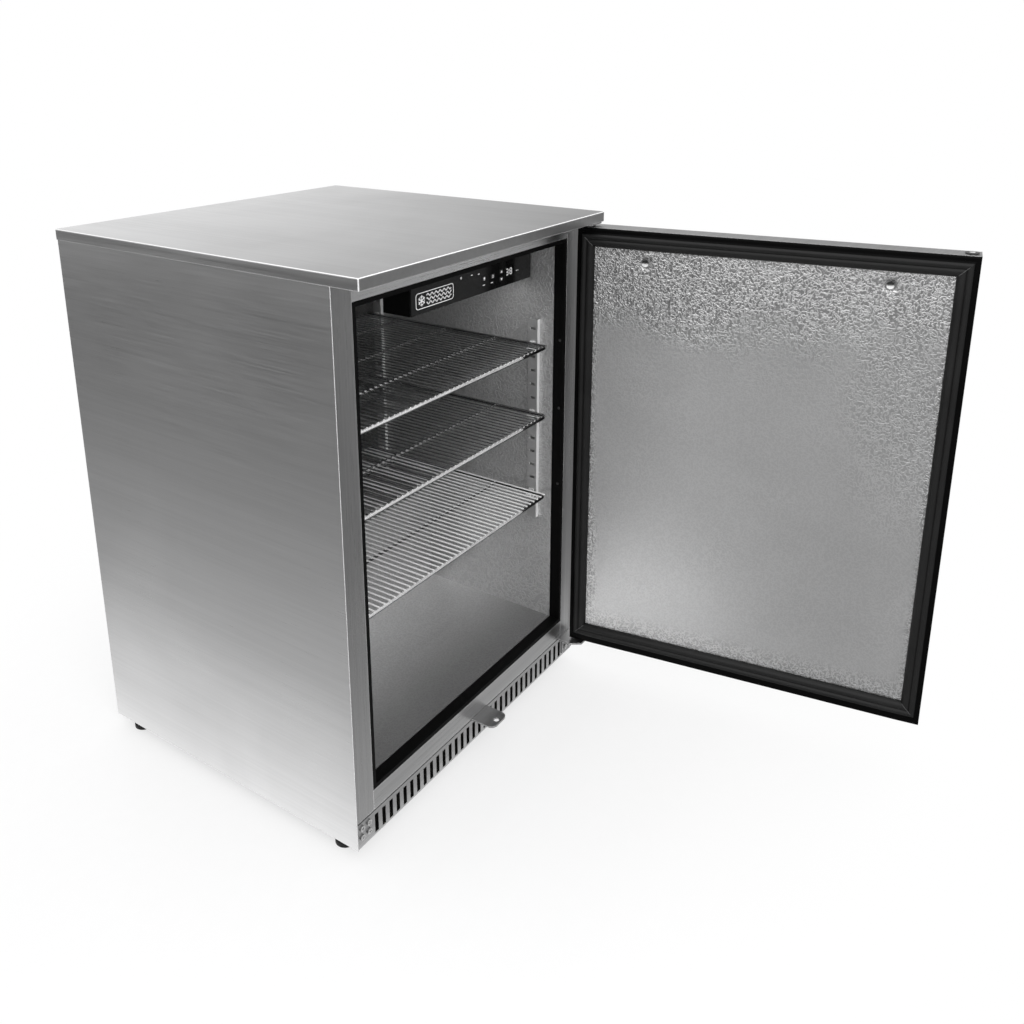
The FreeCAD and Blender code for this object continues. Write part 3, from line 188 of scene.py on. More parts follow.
def brushed(name, axis="Y", base=0.62, rough=0.30, streak=0.06, spread=0.5, edges=0.35, soil=0.04, height_tone=None, round_r=0.0016, shine=0.75, plan=None, square=False):
    """Brushed stainless: hairlines along one axis, broad milling bands, handling smudges, and a painted highlight
    along the edges.
    """
    g = Graph(name)
    fine = g.noise(g.coords(grain_scale(axis, 1300, 9)), 1.0, 3, 0.62)
    mid = g.noise(g.coords(grain_scale(axis, 210, 1.6)), 1.0, 3, 0.55)
    broad = g.noise(g.coords(grain_scale(axis, 22, 0.8)), 1.0, 2, 0.5)
    smudge = g.noise(g.coords((3.1, 3.1, 3.1)), 1.0, 4, 0.55, 0.6)
    normal, mask = g.edge(round_r, 1.0, 6)
    if square:
        # faces rolled between two flats get the painted edge highlight along their whole length
        gn = g.add("ShaderNodeNewGeometry")
        ab = g.add("ShaderNodeVectorMath", operation="ABSOLUTE")
        g.link(gn.outputs["True Normal"], ab.inputs[0])
        sn = g.add("ShaderNodeSeparateXYZ")
        g.link(ab.outputs[0], sn.inputs[0])
        most = g.math("MAXIMUM", sn.outputs["X"], g.math("MAXIMUM", sn.outputs["Y"], sn.outputs["Z"]))
        mask = g.math("MAXIMUM", mask, g.remap(most, 0.985, 0.90, 0.0, 1.0))
    tone = g.math("ADD", g.remap(fine, 0.3, 0.7, -streak * 0.8, streak * 0.8), g.remap(mid, 0.3, 0.7, -streak * 0.55, streak * 0.55))
    tone = g.math("ADD", tone, g.remap(broad, 0.35, 0.65, -streak * 0.35, streak * 0.35))
    tone = g.math("ADD", tone, g.remap(smudge, 0.35, 0.7, soil * 0.5, -soil))
    tone = g.math("ADD", tone, base)
    if height_tone:
        z0, z1, v0, v1 = height_tone
        tc = g.add("ShaderNodeTexCoord")
        sep = g.add("ShaderNodeSeparateXYZ")
        g.link(tc.outputs["Object"], sep.inputs[0])
        tone = g.math("MULTIPLY", tone, g.remap(sep.outputs["Z"], z0, z1, v0, v1, True))
    if plan:
        # painted reflection: the sheet is coloured lighter at the rear left and darker at the front right, (start, per
        # metre in x, per metre in y); the fourth value darkens the faces that are not flat on top
        tc2 = g.add("ShaderNodeTexCoord")
        sep2 = g.add("ShaderNodeSeparateXYZ")
        g.link(tc2.outputs["Object"], sep2.inputs[0])
        f = g.math("ADD", g.math("MULTIPLY", sep2.outputs["X"], plan[1]), g.math("MULTIPLY", sep2.outputs["Y"], plan[2]))
        f = g.math("ADD", f, plan[0])
        geo = g.add("ShaderNodeNewGeometry")
        sep3 = g.add("ShaderNodeSeparateXYZ")
        g.link(geo.outputs["True Normal"], sep3.inputs[0])
        flat = g.remap(sep3.outputs["Z"], 0.90, 0.99, 0.0, 1.0)
        tone = g.mix(flat, g.math("MULTIPLY", tone, plan[3]), g.math("MULTIPLY", tone, f), "FLOAT")
    # painted highlight: edge faces are coloured pale (0.93) and, through shine, made less metallic
    tone = g.mix(mask, tone, 0.93, "FLOAT")
    comb = g.add("ShaderNodeCombineColor")
    for i, k in enumerate((1.0, 1.0, 1.004)):
        g.link(g.math("MULTIPLY", tone, k), comb.inputs[i])
    r = g.math("ADD", g.remap(fine, 0.25, 0.75, rough - 0.05, rough + 0.07), g.remap(smudge, 0.35, 0.7, 0.0, 0.06))
    r = g.mix(g.math("MULTIPLY", mask, edges), r, 0.14, "FLOAT")
    n = g.bump(fine, 0.10, 0.00012, normal)
    n = g.bump(mid, 0.05, 0.0003, n)
    tangent = g.add("ShaderNodeTangent", direction_type="RADIAL", axis="X" if axis == "Y*" else "Z")
    b = g.bsdf(comb.outputs[0], g.remap(mask, 0.0, 1.0, 1.0, 1.0 - shine), r, n, Anisotropic=spread, Anisotropic_Rotation=0.25)
    g.link(tangent.outputs[0], b.inputs["Tangent"])
    return g


def brushed_on_top(name, **kw):
    g = brushed(name, **kw)
    for n in g.nt.nodes:
        if n.bl_idname == "ShaderNodeTangent":
            n.axis = "X"
    return g


def embossed(name, base=0.66, rough=0.3, depth=0.5, size=185.0, metal=1.0, varied=False, fade=None, inward=False):
    """Stucco-embossed sheet: winding raised worms about 5 mm apart."""
    g = Graph(name)
    warp = g.add("ShaderNodeTexNoise")
    vec = g.coords((1, 1, 1))
    g.link(vec, warp.inputs["Vector"])
    warp.inputs["Scale"].default_value = 95.0
    warp.inputs["Detail"].default_value = 1.0
    shift = g.add("ShaderNodeVectorMath", operation="SCALE")
    g.link(warp.outputs["Color"], shift.inputs[0])
    shift.inputs["Scale"].default_value = 0.0045
    total = g.add("ShaderNodeVectorMath", operation="ADD")
    g.link(vec, total.inputs[0])
    g.link(shift.outputs[0], total.inputs[1])
    n1 = g.noise(total.outputs[0], size, 1.4, 0.5)
    worm = g.remap(g.math("ABSOLUTE", g.math("SUBTRACT", n1, 0.5)), 0.0, 0.11, 1.0, 0.0, True)
    pebble = g.noise(vec, 520.0, 2, 0.6)
    cloud = g.noise(vec, 4.5, 3, 0.55, 0.4)
    deep = 0.05
    if varied:
        clear = g.add("ShaderNodeAttribute", attribute_name="crisp", attribute_type="GEOMETRY")
        deep = g.remap(clear.outputs["Fac"], 0.1, 0.9, 0.03, 0.24)
    # painted shade and highlight of the embossing: the raised worms are coloured lighter and the hollows darker
    relief = g.math("MULTIPLY", g.remap(worm, 0.0, 1.0, -1.0, 1.0), deep)
    tone = g.math("ADD", g.math("ADD", relief, base), g.remap(cloud, 0.3, 0.7, -0.03, 0.03))
    # painted light and shade: the tone is ramped along Y, darker at the front of the liner floor and brighter deeper
    # in
    if fade:
        sep = g.add("ShaderNodeSeparateXYZ")
        g.link(vec, sep.inputs[0])
        tone = g.math("MULTIPLY", tone, g.remap(sep.outputs["Y"], fade[0], fade[1], fade[2], fade[3], True))
    if inward:
        # painted shade: the walls are coloured darker high up and deep inside the cabinet
        sep = g.add("ShaderNodeSeparateXYZ")
        g.link(vec, sep.inputs[0])
        deep_y = g.math("ADD", sep.outputs["Y"], 0.3)
        tone = g.math("MULTIPLY", tone, g.ramp(sep.outputs["Z"], 0.9, [(0.0, 1.0), (0.22, 1.0), (0.30, 0.94), (0.38, 0.75), (0.9, 0.72)]))
        under = g.ramp(deep_y, 0.6, [(0.0, 0.95), (0.10, 0.95), (0.17, 1.10), (0.25, 1.14), (0.6, 1.14)])
        low = g.ramp(deep_y, 0.6, [(0.0, 0.95), (0.10, 0.95), (0.17, 1.08), (0.21, 1.04), (0.27, 0.68), (0.6, 0.60)])
        high = g.ramp(deep_y, 0.6, [(0.0, 1.0), (0.10, 1.0), (0.20, 1.0), (0.27, 0.86), (0.6, 0.82)])
        # painted shadow of the lowest shelf, starting along a slanted line; below and in front of that line the wall
        # is painted lighter
        slant = g.math("ADD", sep.outputs["Z"], g.math("MULTIPLY", sep.outputs["Y"], 0.92))
        side = g.mix(g.remap(slant, 0.075, 0.115, 0.0, 1.0, True), under, low, "FLOAT")
        tone = g.math("MULTIPLY", tone, g.mix(g.remap(sep.outputs["Z"], 0.29, 0.42, 0.0, 1.0, True), side, high, "FLOAT"))
    comb = g.add("ShaderNodeCombineColor")
    for i, k in enumerate((1.0, 1.0, 1.003)):
        g.link(g.math("MULTIPLY", tone, k), comb.inputs[i])
    strength, dull = depth, 0.0
    if varied:
        crisp = g.add("ShaderNodeAttribute", attribute_name="crisp", attribute_type="GEOMETRY")
        strength = g.remap(crisp.outputs["Fac"], 0.0, 1.0, depth * 0.15, depth)
        dull = g.remap(crisp.outputs["Fac"], 0.0, 1.0, 0.12, 0.0)
        # painted light: the glow attribute lifts the tone low down beside the hinge
        glow = g.add("ShaderNodeAttribute", attribute_name="glow", attribute_type="GEOMETRY")
        glow_tone = g.math("MULTIPLY", tone, g.math("ADD", 1.0, g.math("MULTIPLY", glow.outputs["Fac"], 0.38)))
        for i, k in enumerate((1.0, 1.0, 1.003)):
            g.link(g.math("MULTIPLY", glow_tone, k), comb.inputs[i])
    n = g.bump(worm, strength, 0.0006)
    n = g.bump(pebble, 0.12, 0.0002, n)
    g.bsdf(comb.outputs[0], metal, g.math("ADD", g.remap(cloud, 0.3, 0.7, rough - 0.03, rough + 0.05), dull), n)
    return g


def moulded(name, base=0.022, rough=0.38, grainy=0.25, scale=1500.0, edge_tone=0.0, spec=0.5, coat=0.0):
    g = Graph(name)
    grain = g.noise(g.coords(), scale, 3, 0.6)
    cloud = g.noise(g.coords(), 9.0, 3, 0.5)
    normal, mask = g.edge(0.0008)
    tone = g.math("ADD", g.remap(cloud, 0.3, 0.7, base * 0.86, base * 1.18), g.math("MULTIPLY", mask, edge_tone))
    comb = g.add("ShaderNodeCombineColor")
    for i in range(3):
        g.link(tone, comb.inputs[i])
    n = g.bump(grain, grainy, 0.00012, normal)
    b = g.bsdf(comb.outputs[0], 0.0, g.remap(cloud, 0.3, 0.7, rough - 0.04, rough + 0.06), n)
    b.inputs["Specular IOR Level"].default_value = spec
    b.inputs["Coat Weight"].default_value = coat
    b.inputs["Coat Roughness"].default_value = 0.06
    return g


def plated(name, base=0.72, rough=0.16, edges=0.3, bumpy=0.05, metal=1.0):
    g = Graph(name)
    grain = g.noise(g.coords(), 700.0, 3, 0.55)
    cloud = g.noise(g.coords(), 26.0, 3, 0.5)
    normal, mask = g.edge(0.0006)
    # painted highlight: edges are coloured up to 0.15 lighter
    tone = g.math("ADD", g.remap(cloud, 0.3, 0.7, base - 0.06, base + 0.05), g.math("MULTIPLY", mask, 0.15))
    comb = g.add("ShaderNodeCombineColor")
    for i in range(3):
        g.link(tone, comb.inputs[i])
    g.bsdf(comb.outputs[0], metal, g.remap(grain, 0.3, 0.7, rough - 0.03, rough + 0.06), g.bump(grain, bumpy, 0.0001, normal))
    return g


def coloured(name, rgb, metallic=0.0, rough=0.5, scale=60.0, vary=0.12, bump=0.2, bump_scale=400.0, bump_mm=0.2):
    g = Graph(name)
    cloud = g.noise(g.coords(), scale, 4, 0.55, 0.3)
    grain = g.noise(g.coords(), bump_scale, 3, 0.6)
    lo = tuple(c * (1 - vary) for c in rgb) + (1,)
    hi = tuple(min(1, c * (1 + vary)) for c in rgb) + (1,)
    g.bsdf(g.mix(g.remap(cloud, 0.3, 0.7, 0, 1), lo, hi), metallic, g.remap(grain, 0.3, 0.7, rough - 0.05, rough + 0.06),
           g.bump(grain, bump, bump_mm / 1000))
    return g


def galvanised(name):
    """Zinc-coated sheet with its crystal spangle."""
    g = Graph(name)
    v = g.add("ShaderNodeTexVoronoi", feature="F1")
    g.link(g.coords((1, 1, 1)), v.inputs["Vector"])
    v.inputs["Scale"].default_value = 85.0
    sep = g.add("ShaderNodeSeparateColor")
    g.link(v.outputs["Color"], sep.inputs[0])
    fine = g.noise(g.coords(), 420.0, 3, 0.6)
    tone = g.math("ADD", g.remap(sep.outputs[0], 0, 1, 0.46, 0.60), g.remap(fine, 0.3, 0.7, -0.03, 0.03))
    comb = g.add("ShaderNodeCombineColor")
    for i, k in enumerate((0.985, 1.0, 1.015)):
        g.link(g.math("MULTIPLY", tone, k), comb.inputs[i])
    normal, mask = g.edge(0.0008)
    g.bsdf(comb.outputs[0], 1.0, g.remap(sep.outputs[1], 0, 1, 0.36, 0.52), g.bump(fine, 0.08, 0.0002, normal))
    return g


def finned(name, axis="X", pitch=420.0):
    """Thin aluminium fins between the modelled gaps, drawn as bands: lighter fin faces with painted shade in the gaps
    between them.
    """
    g = Graph(name)
    tc = g.add("ShaderNodeTexCoord")
    w = g.add("ShaderNodeTexWave", wave_type="BANDS", bands_direction=axis)
    g.link(tc.outputs["Object"], w.inputs["Vector"])
    w.inputs["Scale"].default_value = pitch / 6.283 * 2
    fine = g.noise(g.coords(), 300.0, 3, 0.5)
    tone = g.math("ADD", g.remap(w.outputs["Fac"], 0, 1, 0.25, 0.72), g.remap(fine, 0.3, 0.7, -0.04, 0.04))
    comb = g.add("ShaderNodeCombineColor")
    for i in range(3):
        g.link(tone, comb.inputs[i])
    g.bsdf(comb.outputs[0], 1.0, 0.38, g.bump(w.outputs["Fac"], 0.4, 0.0006))
    return g


# ------------------------------------------------------------------ materials
M = {}
# the worktop carries a painted reflection gradient through plan
M["top"] = brushed_on_top("steel_worktop", axis="Y", base=0.63, rough=0.34, streak=0.045, spread=0.35, soil=0.05, round_r=0.0020, shine=0.62,
                          plan=(0.838, -0.268, 0.743, 0.84), square=True).mat
M["side"] = brushed("steel_side", axis="Y", base=0.60, rough=0.30, streak=0.03, spread=0.45, soil=0.03, square=True, shine=0.32).mat
M["front"] = brushed("steel_front", axis="X", base=0.60, rough=0.27, streak=0.05, spread=0.45, shine=0.4).mat
GRILLE_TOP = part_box("grille_panel")[1].z
# the grille panel's upper edge sits in the shade of the rail above it
M["grille"] = brushed("steel_grille", axis="X", base=0.53, rough=0.27, streak=0.05, spread=0.45, shine=0.1, round_r=0.0004,
                      height_tone=(GRILLE_TOP - 0.0024, GRILLE_TOP - 0.0018, 1.0, 0.16)).mat
# the header rail is the same steel as the fronts, coloured far paler: painted highlight
M["header"] = brushed("steel_header", axis="X", base=0.93, rough=0.27, streak=0.07, spread=0.45, shine=0.4).mat
M["pillar"] = brushed("steel_pillar", axis="Z", base=0.57, rough=0.27, streak=0.05, spread=0.3, round_r=0.0020, square=True, shine=0.65).mat
# the right-hand front pillar is a darker copy of the left pillar's steel: painted shade
M["pillar_far"] = brushed("steel_pillar_far", axis="Z", base=0.49, rough=0.27, streak=0.05, spread=0.3, round_r=0.0020, square=True, shine=0.65).mat
M["skin"] = brushed("steel_door_skin", axis="Z", base=0.62, rough=0.29, streak=0.04, spread=0.3).mat
M["bracket"] = brushed("steel_bracket", axis="X", base=0.42, rough=0.34, streak=0.06, spread=0.1).mat
# the door skin's folded top and bottom get this darker copy of the skin steel: painted shade
M["cap"] = brushed("steel_door_cap", axis="X", base=0.36, rough=0.36, streak=0.05, spread=0.1).mat
M["pale"] = moulded("plug_plastic", base=0.05, rough=0.35, grainy=0.1).mat
M["stucco"] = embossed("stucco_liner", base=0.74, rough=0.34, depth=1.0, metal=0.7, size=150.0, inward=True).mat
# the liner floor's tone is ramped along Y: painted shade at the front, painted light deeper in
M["stucco_floor"] = embossed("stucco_liner_floor", base=0.74, rough=0.34, depth=0.35, metal=0.45, fade=(-0.26, 0.04, 0.34, 1.36)).mat
M["stucco_door"] = embossed("stucco_door_sheet", base=0.70, rough=0.24, depth=0.7, metal=0.82, varied=True).mat
M["throat"] = moulded("black_breaker", base=0.003, rough=0.50, grainy=0.12, spec=0.07).mat
M["plastic"] = moulded("black_satin_plastic", base=0.018, rough=0.42, grainy=0.3).mat
M["box"] = moulded("black_box_plastic", base=0.003, rough=0.45, grainy=0.15, spec=0.15).mat
M["gloss"] = moulded("gloss_black_panel", base=0.004, rough=0.14, grainy=0.02, spec=0.35, coat=0.15).mat
M["key"] = moulded("soft_key_rubber", base=0.020, rough=0.5, grainy=0.3).mat
M["rubber"] = moulded("mount_rubber", base=0.02, rough=0.65, grainy=0.4, scale=800.0).mat
M["foot"] = moulded("foot_rubber", base=0.005, rough=0.60, grainy=0.4, scale=900.0, spec=0.18).mat
M["cord"] = moulded("cord_sheath", base=0.016, rough=0.5, grainy=0.35, scale=600.0).mat
M["polished"] = plated("polished_steel", 0.74, 0.15).mat
M["zinc"] = plated("zinc_screws", 0.70, 0.22, bumpy=0.1).mat
M["screw"] = plated("screw_heads", 0.76, 0.26, bumpy=0.1, metal=0.9).mat
M["screw_rim"] = plated("screw_rims", 0.36, 0.35, bumpy=0.1, metal=1.0).mat
# lit and shaded copies of the shelf chrome: painted light and painted shade
M["wire"] = plated("shelf_wire", 0.66, 0.20, bumpy=0.06, metal=1.0).mat
M["wire_low"] = plated("shelf_wire_lit", 0.95, 0.24, bumpy=0.06, metal=0.15).mat
M["wire_tip"] = plated("shelf_wire_front_lit", 0.80, 0.24, bumpy=0.06, metal=0.40).mat
M["rod_lit"] = plated("shelf_rod_lit", 0.62, 0.26, bumpy=0.06, metal=0.40).mat
M["rod_shade"] = plated("shelf_rod_shade", 0.13, 0.30, bumpy=0.06, metal=1.0).mat
# steel_pilaster is a painted-light copy of steel_pilaster_web, paler and nearly non-metallic; the shelf clips use it
# too
M["pilaster"] = plated("steel_pilaster", 0.80, 0.38, metal=0.12).mat
M["pilaster_web"] = plated("steel_pilaster_web", 0.62, 0.42, metal=0.8).mat
M["galv"] = galvanised("galvanised_sheet").mat
M["fins"] = finned("coil_fins").mat
M["foam"] = coloured("rigid_foam", (0.78, 0.70, 0.46), 0.0, 0.85, 40, 0.1, 0.6, 700, 0.4).mat
M["copper"] = coloured("copper_tube", (0.72, 0.40, 0.26), 1.0, 0.28, 30, 0.15, 0.08, 300, 0.1).mat
M["compressor"] = moulded("compressor_enamel", base=0.012, rough=0.25, grainy=0.5, scale=240.0, spec=0.5, coat=0.3).mat
# the base pan is coloured near-black so the view through the grille slots reads as shade: painted shade
M["pan"] = moulded("base_pan_dark", base=0.016, rough=0.42, grainy=0.35, scale=420.0, spec=0.35).mat
M["lens"] = coloured("frosted_lens", (0.80, 0.81, 0.83), 0.0, 0.35, 30, 0.03, 0.25, 900, 0.1).mat
M["window"] = moulded("smoked_window", base=0.004, rough=0.08, grainy=0.01, spec=0.5, coat=0.6).mat
M["brass"] = plated("nickel_lock", 0.66, 0.2).mat


def dished_bolt():
    """Bolt head pulled into the sheet: its upper half lies in shade, its lower half catches the light."""
    g = Graph("dished_bolt_head")
    tc = g.add("ShaderNodeTexCoord")
    sep = g.add("ShaderNodeSeparateXYZ")
    g.link(tc.outputs["Object"], sep.inputs[0])
    grain = g.noise(g.coords(), 600.0, 3, 0.5)
    z = g.math("ADD", sep.outputs["Z"], g.remap(grain, 0.3, 0.7, -0.0006, 0.0006))
    tone = g.remap(z, 0.7595, 0.7640, 0.95, 0.03, True)
    comb = g.add("ShaderNodeCombineColor")
    for i in range(3):
        g.link(tone, comb.inputs[i])
    g.bsdf(comb.outputs[0], 0.25, 0.3, g.bump(grain, 0.15, 0.0002))
    return g.mat


M["dished"] = dished_bolt()


def printed(name, value, rough=0.45, glow=0.0):
    g = Graph(name)
    n = g.noise(g.coords(), 900.0, 2, 0.5)
    col = g.mix(g.remap(n, 0.3, 0.7, 0, 1), grey(value * 0.93), grey(value))
    b = g.bsdf(col, 0.0, rough, g.bump(n, 0.1, 0.0001))
    if glow:
        g.link(col, b.inputs["Emission Color"])
        b.inputs["Emission Strength"].default_value = glow
    return g.mat


# the white print is given a faint emission: a painted glow
M["ink"] = printed("white_print", 0.86, 0.45, 0.12)
M["digit"] = printed("display_digits", 0.80, 0.4, 0.45)


def gasket_material():
    """Extruded vinyl: fine lines along the run, crowns coloured lighter and more specular as a painted highlight,
    folds darker and duller as painted shade.
    """
    g = Graph("gasket_vinyl")
    att = g.add("ShaderNodeAttribute", attribute_name="run", attribute_type="GEOMETRY")
    crown = g.add("ShaderNodeAttribute", attribute_name="crown", attribute_type="GEOMETRY")
    grain = g.noise(g.coords(), 1400.0, 3, 0.6)
    cloud = g.noise(g.coords(), 13.0, 3, 0.5, 0.3)
    base = g.remap(crown.outputs["Fac"], 0.0, 1.0, 0.0015, 0.0105, True)
    tone = g.math("MULTIPLY", base, g.remap(cloud, 0.3, 0.7, 0.85, 1.2))
    comb = g.add("ShaderNodeCombineColor")
    for i in range(3):
        g.link(tone, comb.inputs[i])
    b = g.bsdf(comb.outputs[0], 0.0, g.remap(cloud, 0.3, 0.7, 0.40, 0.52), g.bump(grain, 0.25, 0.00015))
    g.link(g.remap(crown.outputs["Fac"], 0.0, 0.5, 0.08, 0.34, True), b.inputs["Specular IOR Level"])
    return g.mat


M["gasket"] = gasket_material()
M["bead"] = moulded("gasket_weld_bead", base=0.075, rough=0.35, grainy=0.2, scale=900.0)
M["bead"] = M["bead"].mat

CAD = {
    "top": ["worktop"],
    "side": [],
    "front": ["bottom_rail"],
    "grille": ["grille_panel"],
    "header": ["header_rail"],
    "bracket": ["hinge_bracket_bottom", "hinge_bracket_top", "lock_keeper"],
    "galv": ["back_panel", "machine_cover", "evaporator_cover", "condenser_shroud", "drip_tray"],
    "pan": ["base_pan"],
    "throat": ["breaker_frame"],
    "foam": ["cabinet_foam", "door_foam"],
    "box": ["control_housing"],
    "gloss": ["control_faceplate"],
    "window": ["display_window"],
    "key": ["button_up", "button_down", "button_light", "button_power"],
    "lens": ["light_lens"],
    "plastic": ["relay_cover", "evaporator_fan_blade", "condenser_fan_blade", "hinge_bushings",
                "evaporator_fan_motor", "condenser_fan_motor"],
    "pale": ["bushing_plugs"],
    "cord": ["power_cord"],
    "screw": ["bracket_screws"],
    "polished": ["door_handle", "lock_bolt"],
    "brass": ["lock_barrel", "lock_core"],
    "pilaster": ["shelf_clips"],
    "rubber": ["compressor_mounts"],
    "fins": ["evaporator_coil", "condenser_coil"],
    "compressor": ["compressor"],
    "copper": ["refrigerant_lines", "filter_drier"],
}


def dress(name, *keys):
    o = nodes[name]
    o.data.materials.clear()
    for k in keys:
        o.data.materials.append(M[k])
    for p in o.data.polygons:
        p.material_index = 0
    return o


for key, names in CAD.items():
    for name in names:
        dress(name, key)

# handle bolts: their heads on the inner sheet sit in dimples
o = dress("handle_bolts", "polished", "dished")
for p in o.data.polygons:
    c = DOOR.inverted() @ p.center
    if c.y > -0.2850:
        p.material_index = 1

# screw heads: bright crown, shaded rim
o = dress("bracket_screws", "screw", "screw_rim")
for p in o.data.polygons:
    if abs(p.normal.y) < 0.93:
        p.material_index = 1

# pilasters: the flange that faces the opening gets a pale, nearly non-metallic copy of the steel as a painted
# highlight; the slotted web keeps the darker, more metallic copy
for name in ("pilasters_left", "pilasters_right"):
    o = dress(name, "pilaster_web", "pilaster")
    for p in o.data.polygons:
        if p.normal.y < -0.6:
            p.material_index = 1

# liner floor, and the door skin's folded top and bottom
o = dress("inner_liner", "stucco", "stucco_floor")
for p in o.data.polygons:
    if p.normal.z > 0.6 and p.center.z < 0.2:
        p.material_index = 1
# the skin's top and bottom faces take the darker cap copy: painted shade
o = dress("door_skin", "skin", "cap")
for p in o.data.polygons:
    if abs(p.normal.z) > 0.6:
        p.material_index = 1

# side panels: the folded front pillar has vertical grain, the flat side has horizontal grain
for name in ("side_panel_left", "side_panel_right"):
    o = dress(name, "side", "pillar" if name.endswith("left") else "pillar_far")
    for p in o.data.polygons:
        if abs(p.normal.y) > 0.5 and p.center.y < 0:
            p.material_index = 1

# levelling feet: rubber pad below, plated stud above
for name in ("foot_front_left", "foot_front_right", "foot_rear_left", "foot_rear_right"):
    o = dress(name, "foot", "zinc")
    for p in o.data.polygons:
        if p.center.z > FLOOR + 0.0192:
            p.material_index = 1


# ------------------------------------------------------------------ mesh helpers
def mesh(name, verts, faces, material, body, smooth=True, attrs=None, place=None, mats=None, face_mats=None):
    me = bpy.data.meshes.new(name)
    vs = [tuple(place @ Vector(v)) if place is not None else tuple(v) for v in verts]
    me.from_pydata(vs, [], faces)
    me.update()
    if smooth:
        me.shade_smooth()
    for m in (mats or [material]):
        me.materials.append(m)
    if face_mats is not None:
        me.polygons.foreach_set("material_index", face_mats)
    for k, values in (attrs or {}).items():
        a = me.attributes.new(k, "FLOAT", "POINT")
        a.data.foreach_set("value", np.asarray(values, np.float32))
    o = bpy.data.objects.new(name, me)
    scene.collection.objects.link(o)
    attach(o, body)
    return o


class Build:
    """Collects vertices and faces of several shells into one mesh."""

    def __init__(self):
        self.v, self.f = [], []

    def add(self, verts, faces):
        n = len(self.v)
        self.v.extend(verts)
        self.f.extend([tuple(i + n for i in f) for f in faces])

    def tube(self, pts, r, segs=10, dome=True, closed=False):
        pts = [Vector(p) for p in pts]
        n = len(pts)
        tang = []
        for i in range(n):
            if closed:
                d = (pts[(i + 1) % n] - pts[i]).normalized() + (pts[i] - pts[i - 1]).normalized()
            elif i == 0:
                d = pts[1] - pts[0]
            elif i == n - 1:
                d = pts[-1] - pts[-2]
            else:
                d = (pts[i + 1] - pts[i]).normalized() + (pts[i] - pts[i - 1]).normalized()
            tang.append(d.normalized())
        up = Vector((0, 0, 1)) if abs(tang[0].z) < 0.9 else Vector((0, 1, 0))
        rings, frames = [], []
        side = tang[0].cross(up).normalized()
        for i in range(n):
            if i:
                side = (side - tang[i] * side.dot(tang[i])).normalized()
            frames.append((side.copy(), tang[i].cross(side).normalized()))
        stations = []
        if not closed and dome:
            for a in (0.25, 0.7):
                stations.append((0, -math.cos(a * math.pi / 2) * r * 0.9, math.sin(a * math.pi / 2) * r))
        for i in range(n):
            stations.append((i, 0.0, r))
        if not closed and dome:
            for a in (0.7, 0.25):
                stations.append((n - 1, math.cos(a * math.pi / 2) * r * 0.9, math.sin(a * math.pi / 2) * r))
        verts, faces = [], []
        for i, off, rad in stations:
            s, t = frames[i]
            c = pts[i] + tang[i] * off
            for k in range(segs):
                a = 2 * math.pi * k / segs
                verts.append(c + s * math.cos(a) * rad + t * math.sin(a) * rad)
        m = len(stations)
        for i in range(m if closed else m - 1):
            for k in range(segs):
                a, b = i * segs + k, i * segs + (k + 1) % segs
                c, d = ((i + 1) % m) * segs + (k + 1) % segs, ((i + 1) % m) * segs + k
                faces.append((a, b, c, d))
        if not closed:
            faces.append(tuple(reversed(range(segs))))
            faces.append(tuple((m - 1) * segs + k for k in range(segs)))
        self.add(verts, faces)

    def lathe(self, profile, origin, axis, segs=20):
        """profile: (radius, height) pairs, closed on the axis at both ends."""
        axis = Vector(axis).normalized()
        u = axis.orthogonal().normalized()
        w = axis.cross(u)
        verts, faces, rows = [], [], []
        for r, h in profile:
            if r < 1e-9:
                rows.append([len(verts)])
                verts.append(Vector(origin) + axis * h)
            else:
                row = []
                for k in range(segs):
                    a = 2 * math.pi * k / segs
                    row.append(len(verts))
                    verts.append(Vector(origin) + axis * h + (u * math.cos(a) + w * math.sin(a)) * r)
                rows.append(row)
        for a, b in zip(rows, rows[1:]):
            for k in range(segs):
                k2 = (k + 1) % segs
                if len(a) == 1:
                    faces.append((a[0], b[k2], b[k]))
                elif len(b) == 1:
                    faces.append((a[k], a[k2], b[0]))
                else:
                    faces.append((a[k], a[k2], b[k2], b[k]))
        self.add(verts, faces)

    def slab(self, outline, plane_point, u, w, thick):
        """Flat outline (list of 2-D points) extruded by thick along u x w."""
        u, w = Vector(u), Vector(w)
        n = u.cross(w)
        o = Vector(plane_point)
        low = [o + u * a + w * b for a, b in outline]
        high = [p + n * thick for p in low]
        k = len(outline)
        self.add(low + high, [tuple(reversed(range(k))), tuple(range(k, 2 * k))] +
                 [(i, (i + 1) % k, k + (i + 1) % k, k + i) for i in range(k)])


def rounded(w, h, r, cx=0.0, cy=0.0, seg=6):
    pts = []
    for sx, sy, a0 in ((1, 1, 0), (-1, 1, 90), (-1, -1, 180), (1, -1, 270)):
        for i in range(seg + 1):
            a = math.radians(a0 + 90 * i / seg)
            pts.append((cx + sx * (w / 2 - r) + r * math.cos(a), cy + sy * (h / 2 - r) + r * math.sin(a)))
    return pts


# ------------------------------------------------------------------ door inner sheet, embossed in the mesh
lo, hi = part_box("door_skin")
DW = 0.299 - 0.0012
Z0, Z1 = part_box("door_inner_panel")[0].z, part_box("door_inner_panel")[1].z
BACK = -0.2838
SEAL_IN = 0.2695
SEAL_LO, SEAL_HI = 0.0845, 0.783


def stucco_height(x, z, lift=0.0):
    p = Vector((x, lift, z))
    q = p * 95.0
    w = Vector((noise.noise(q + Vector((7.1, 0, 0))), 0.0, noise.noise(q + Vector((0, 9.7, 3.3))))) * 0.0022
    n1 = noise.noise((p + w) * 185.0)
    a = min(1.0, abs(n1) / 0.30)
    worm = 1.0 - a * a * (3 - 2 * a)
    return worm


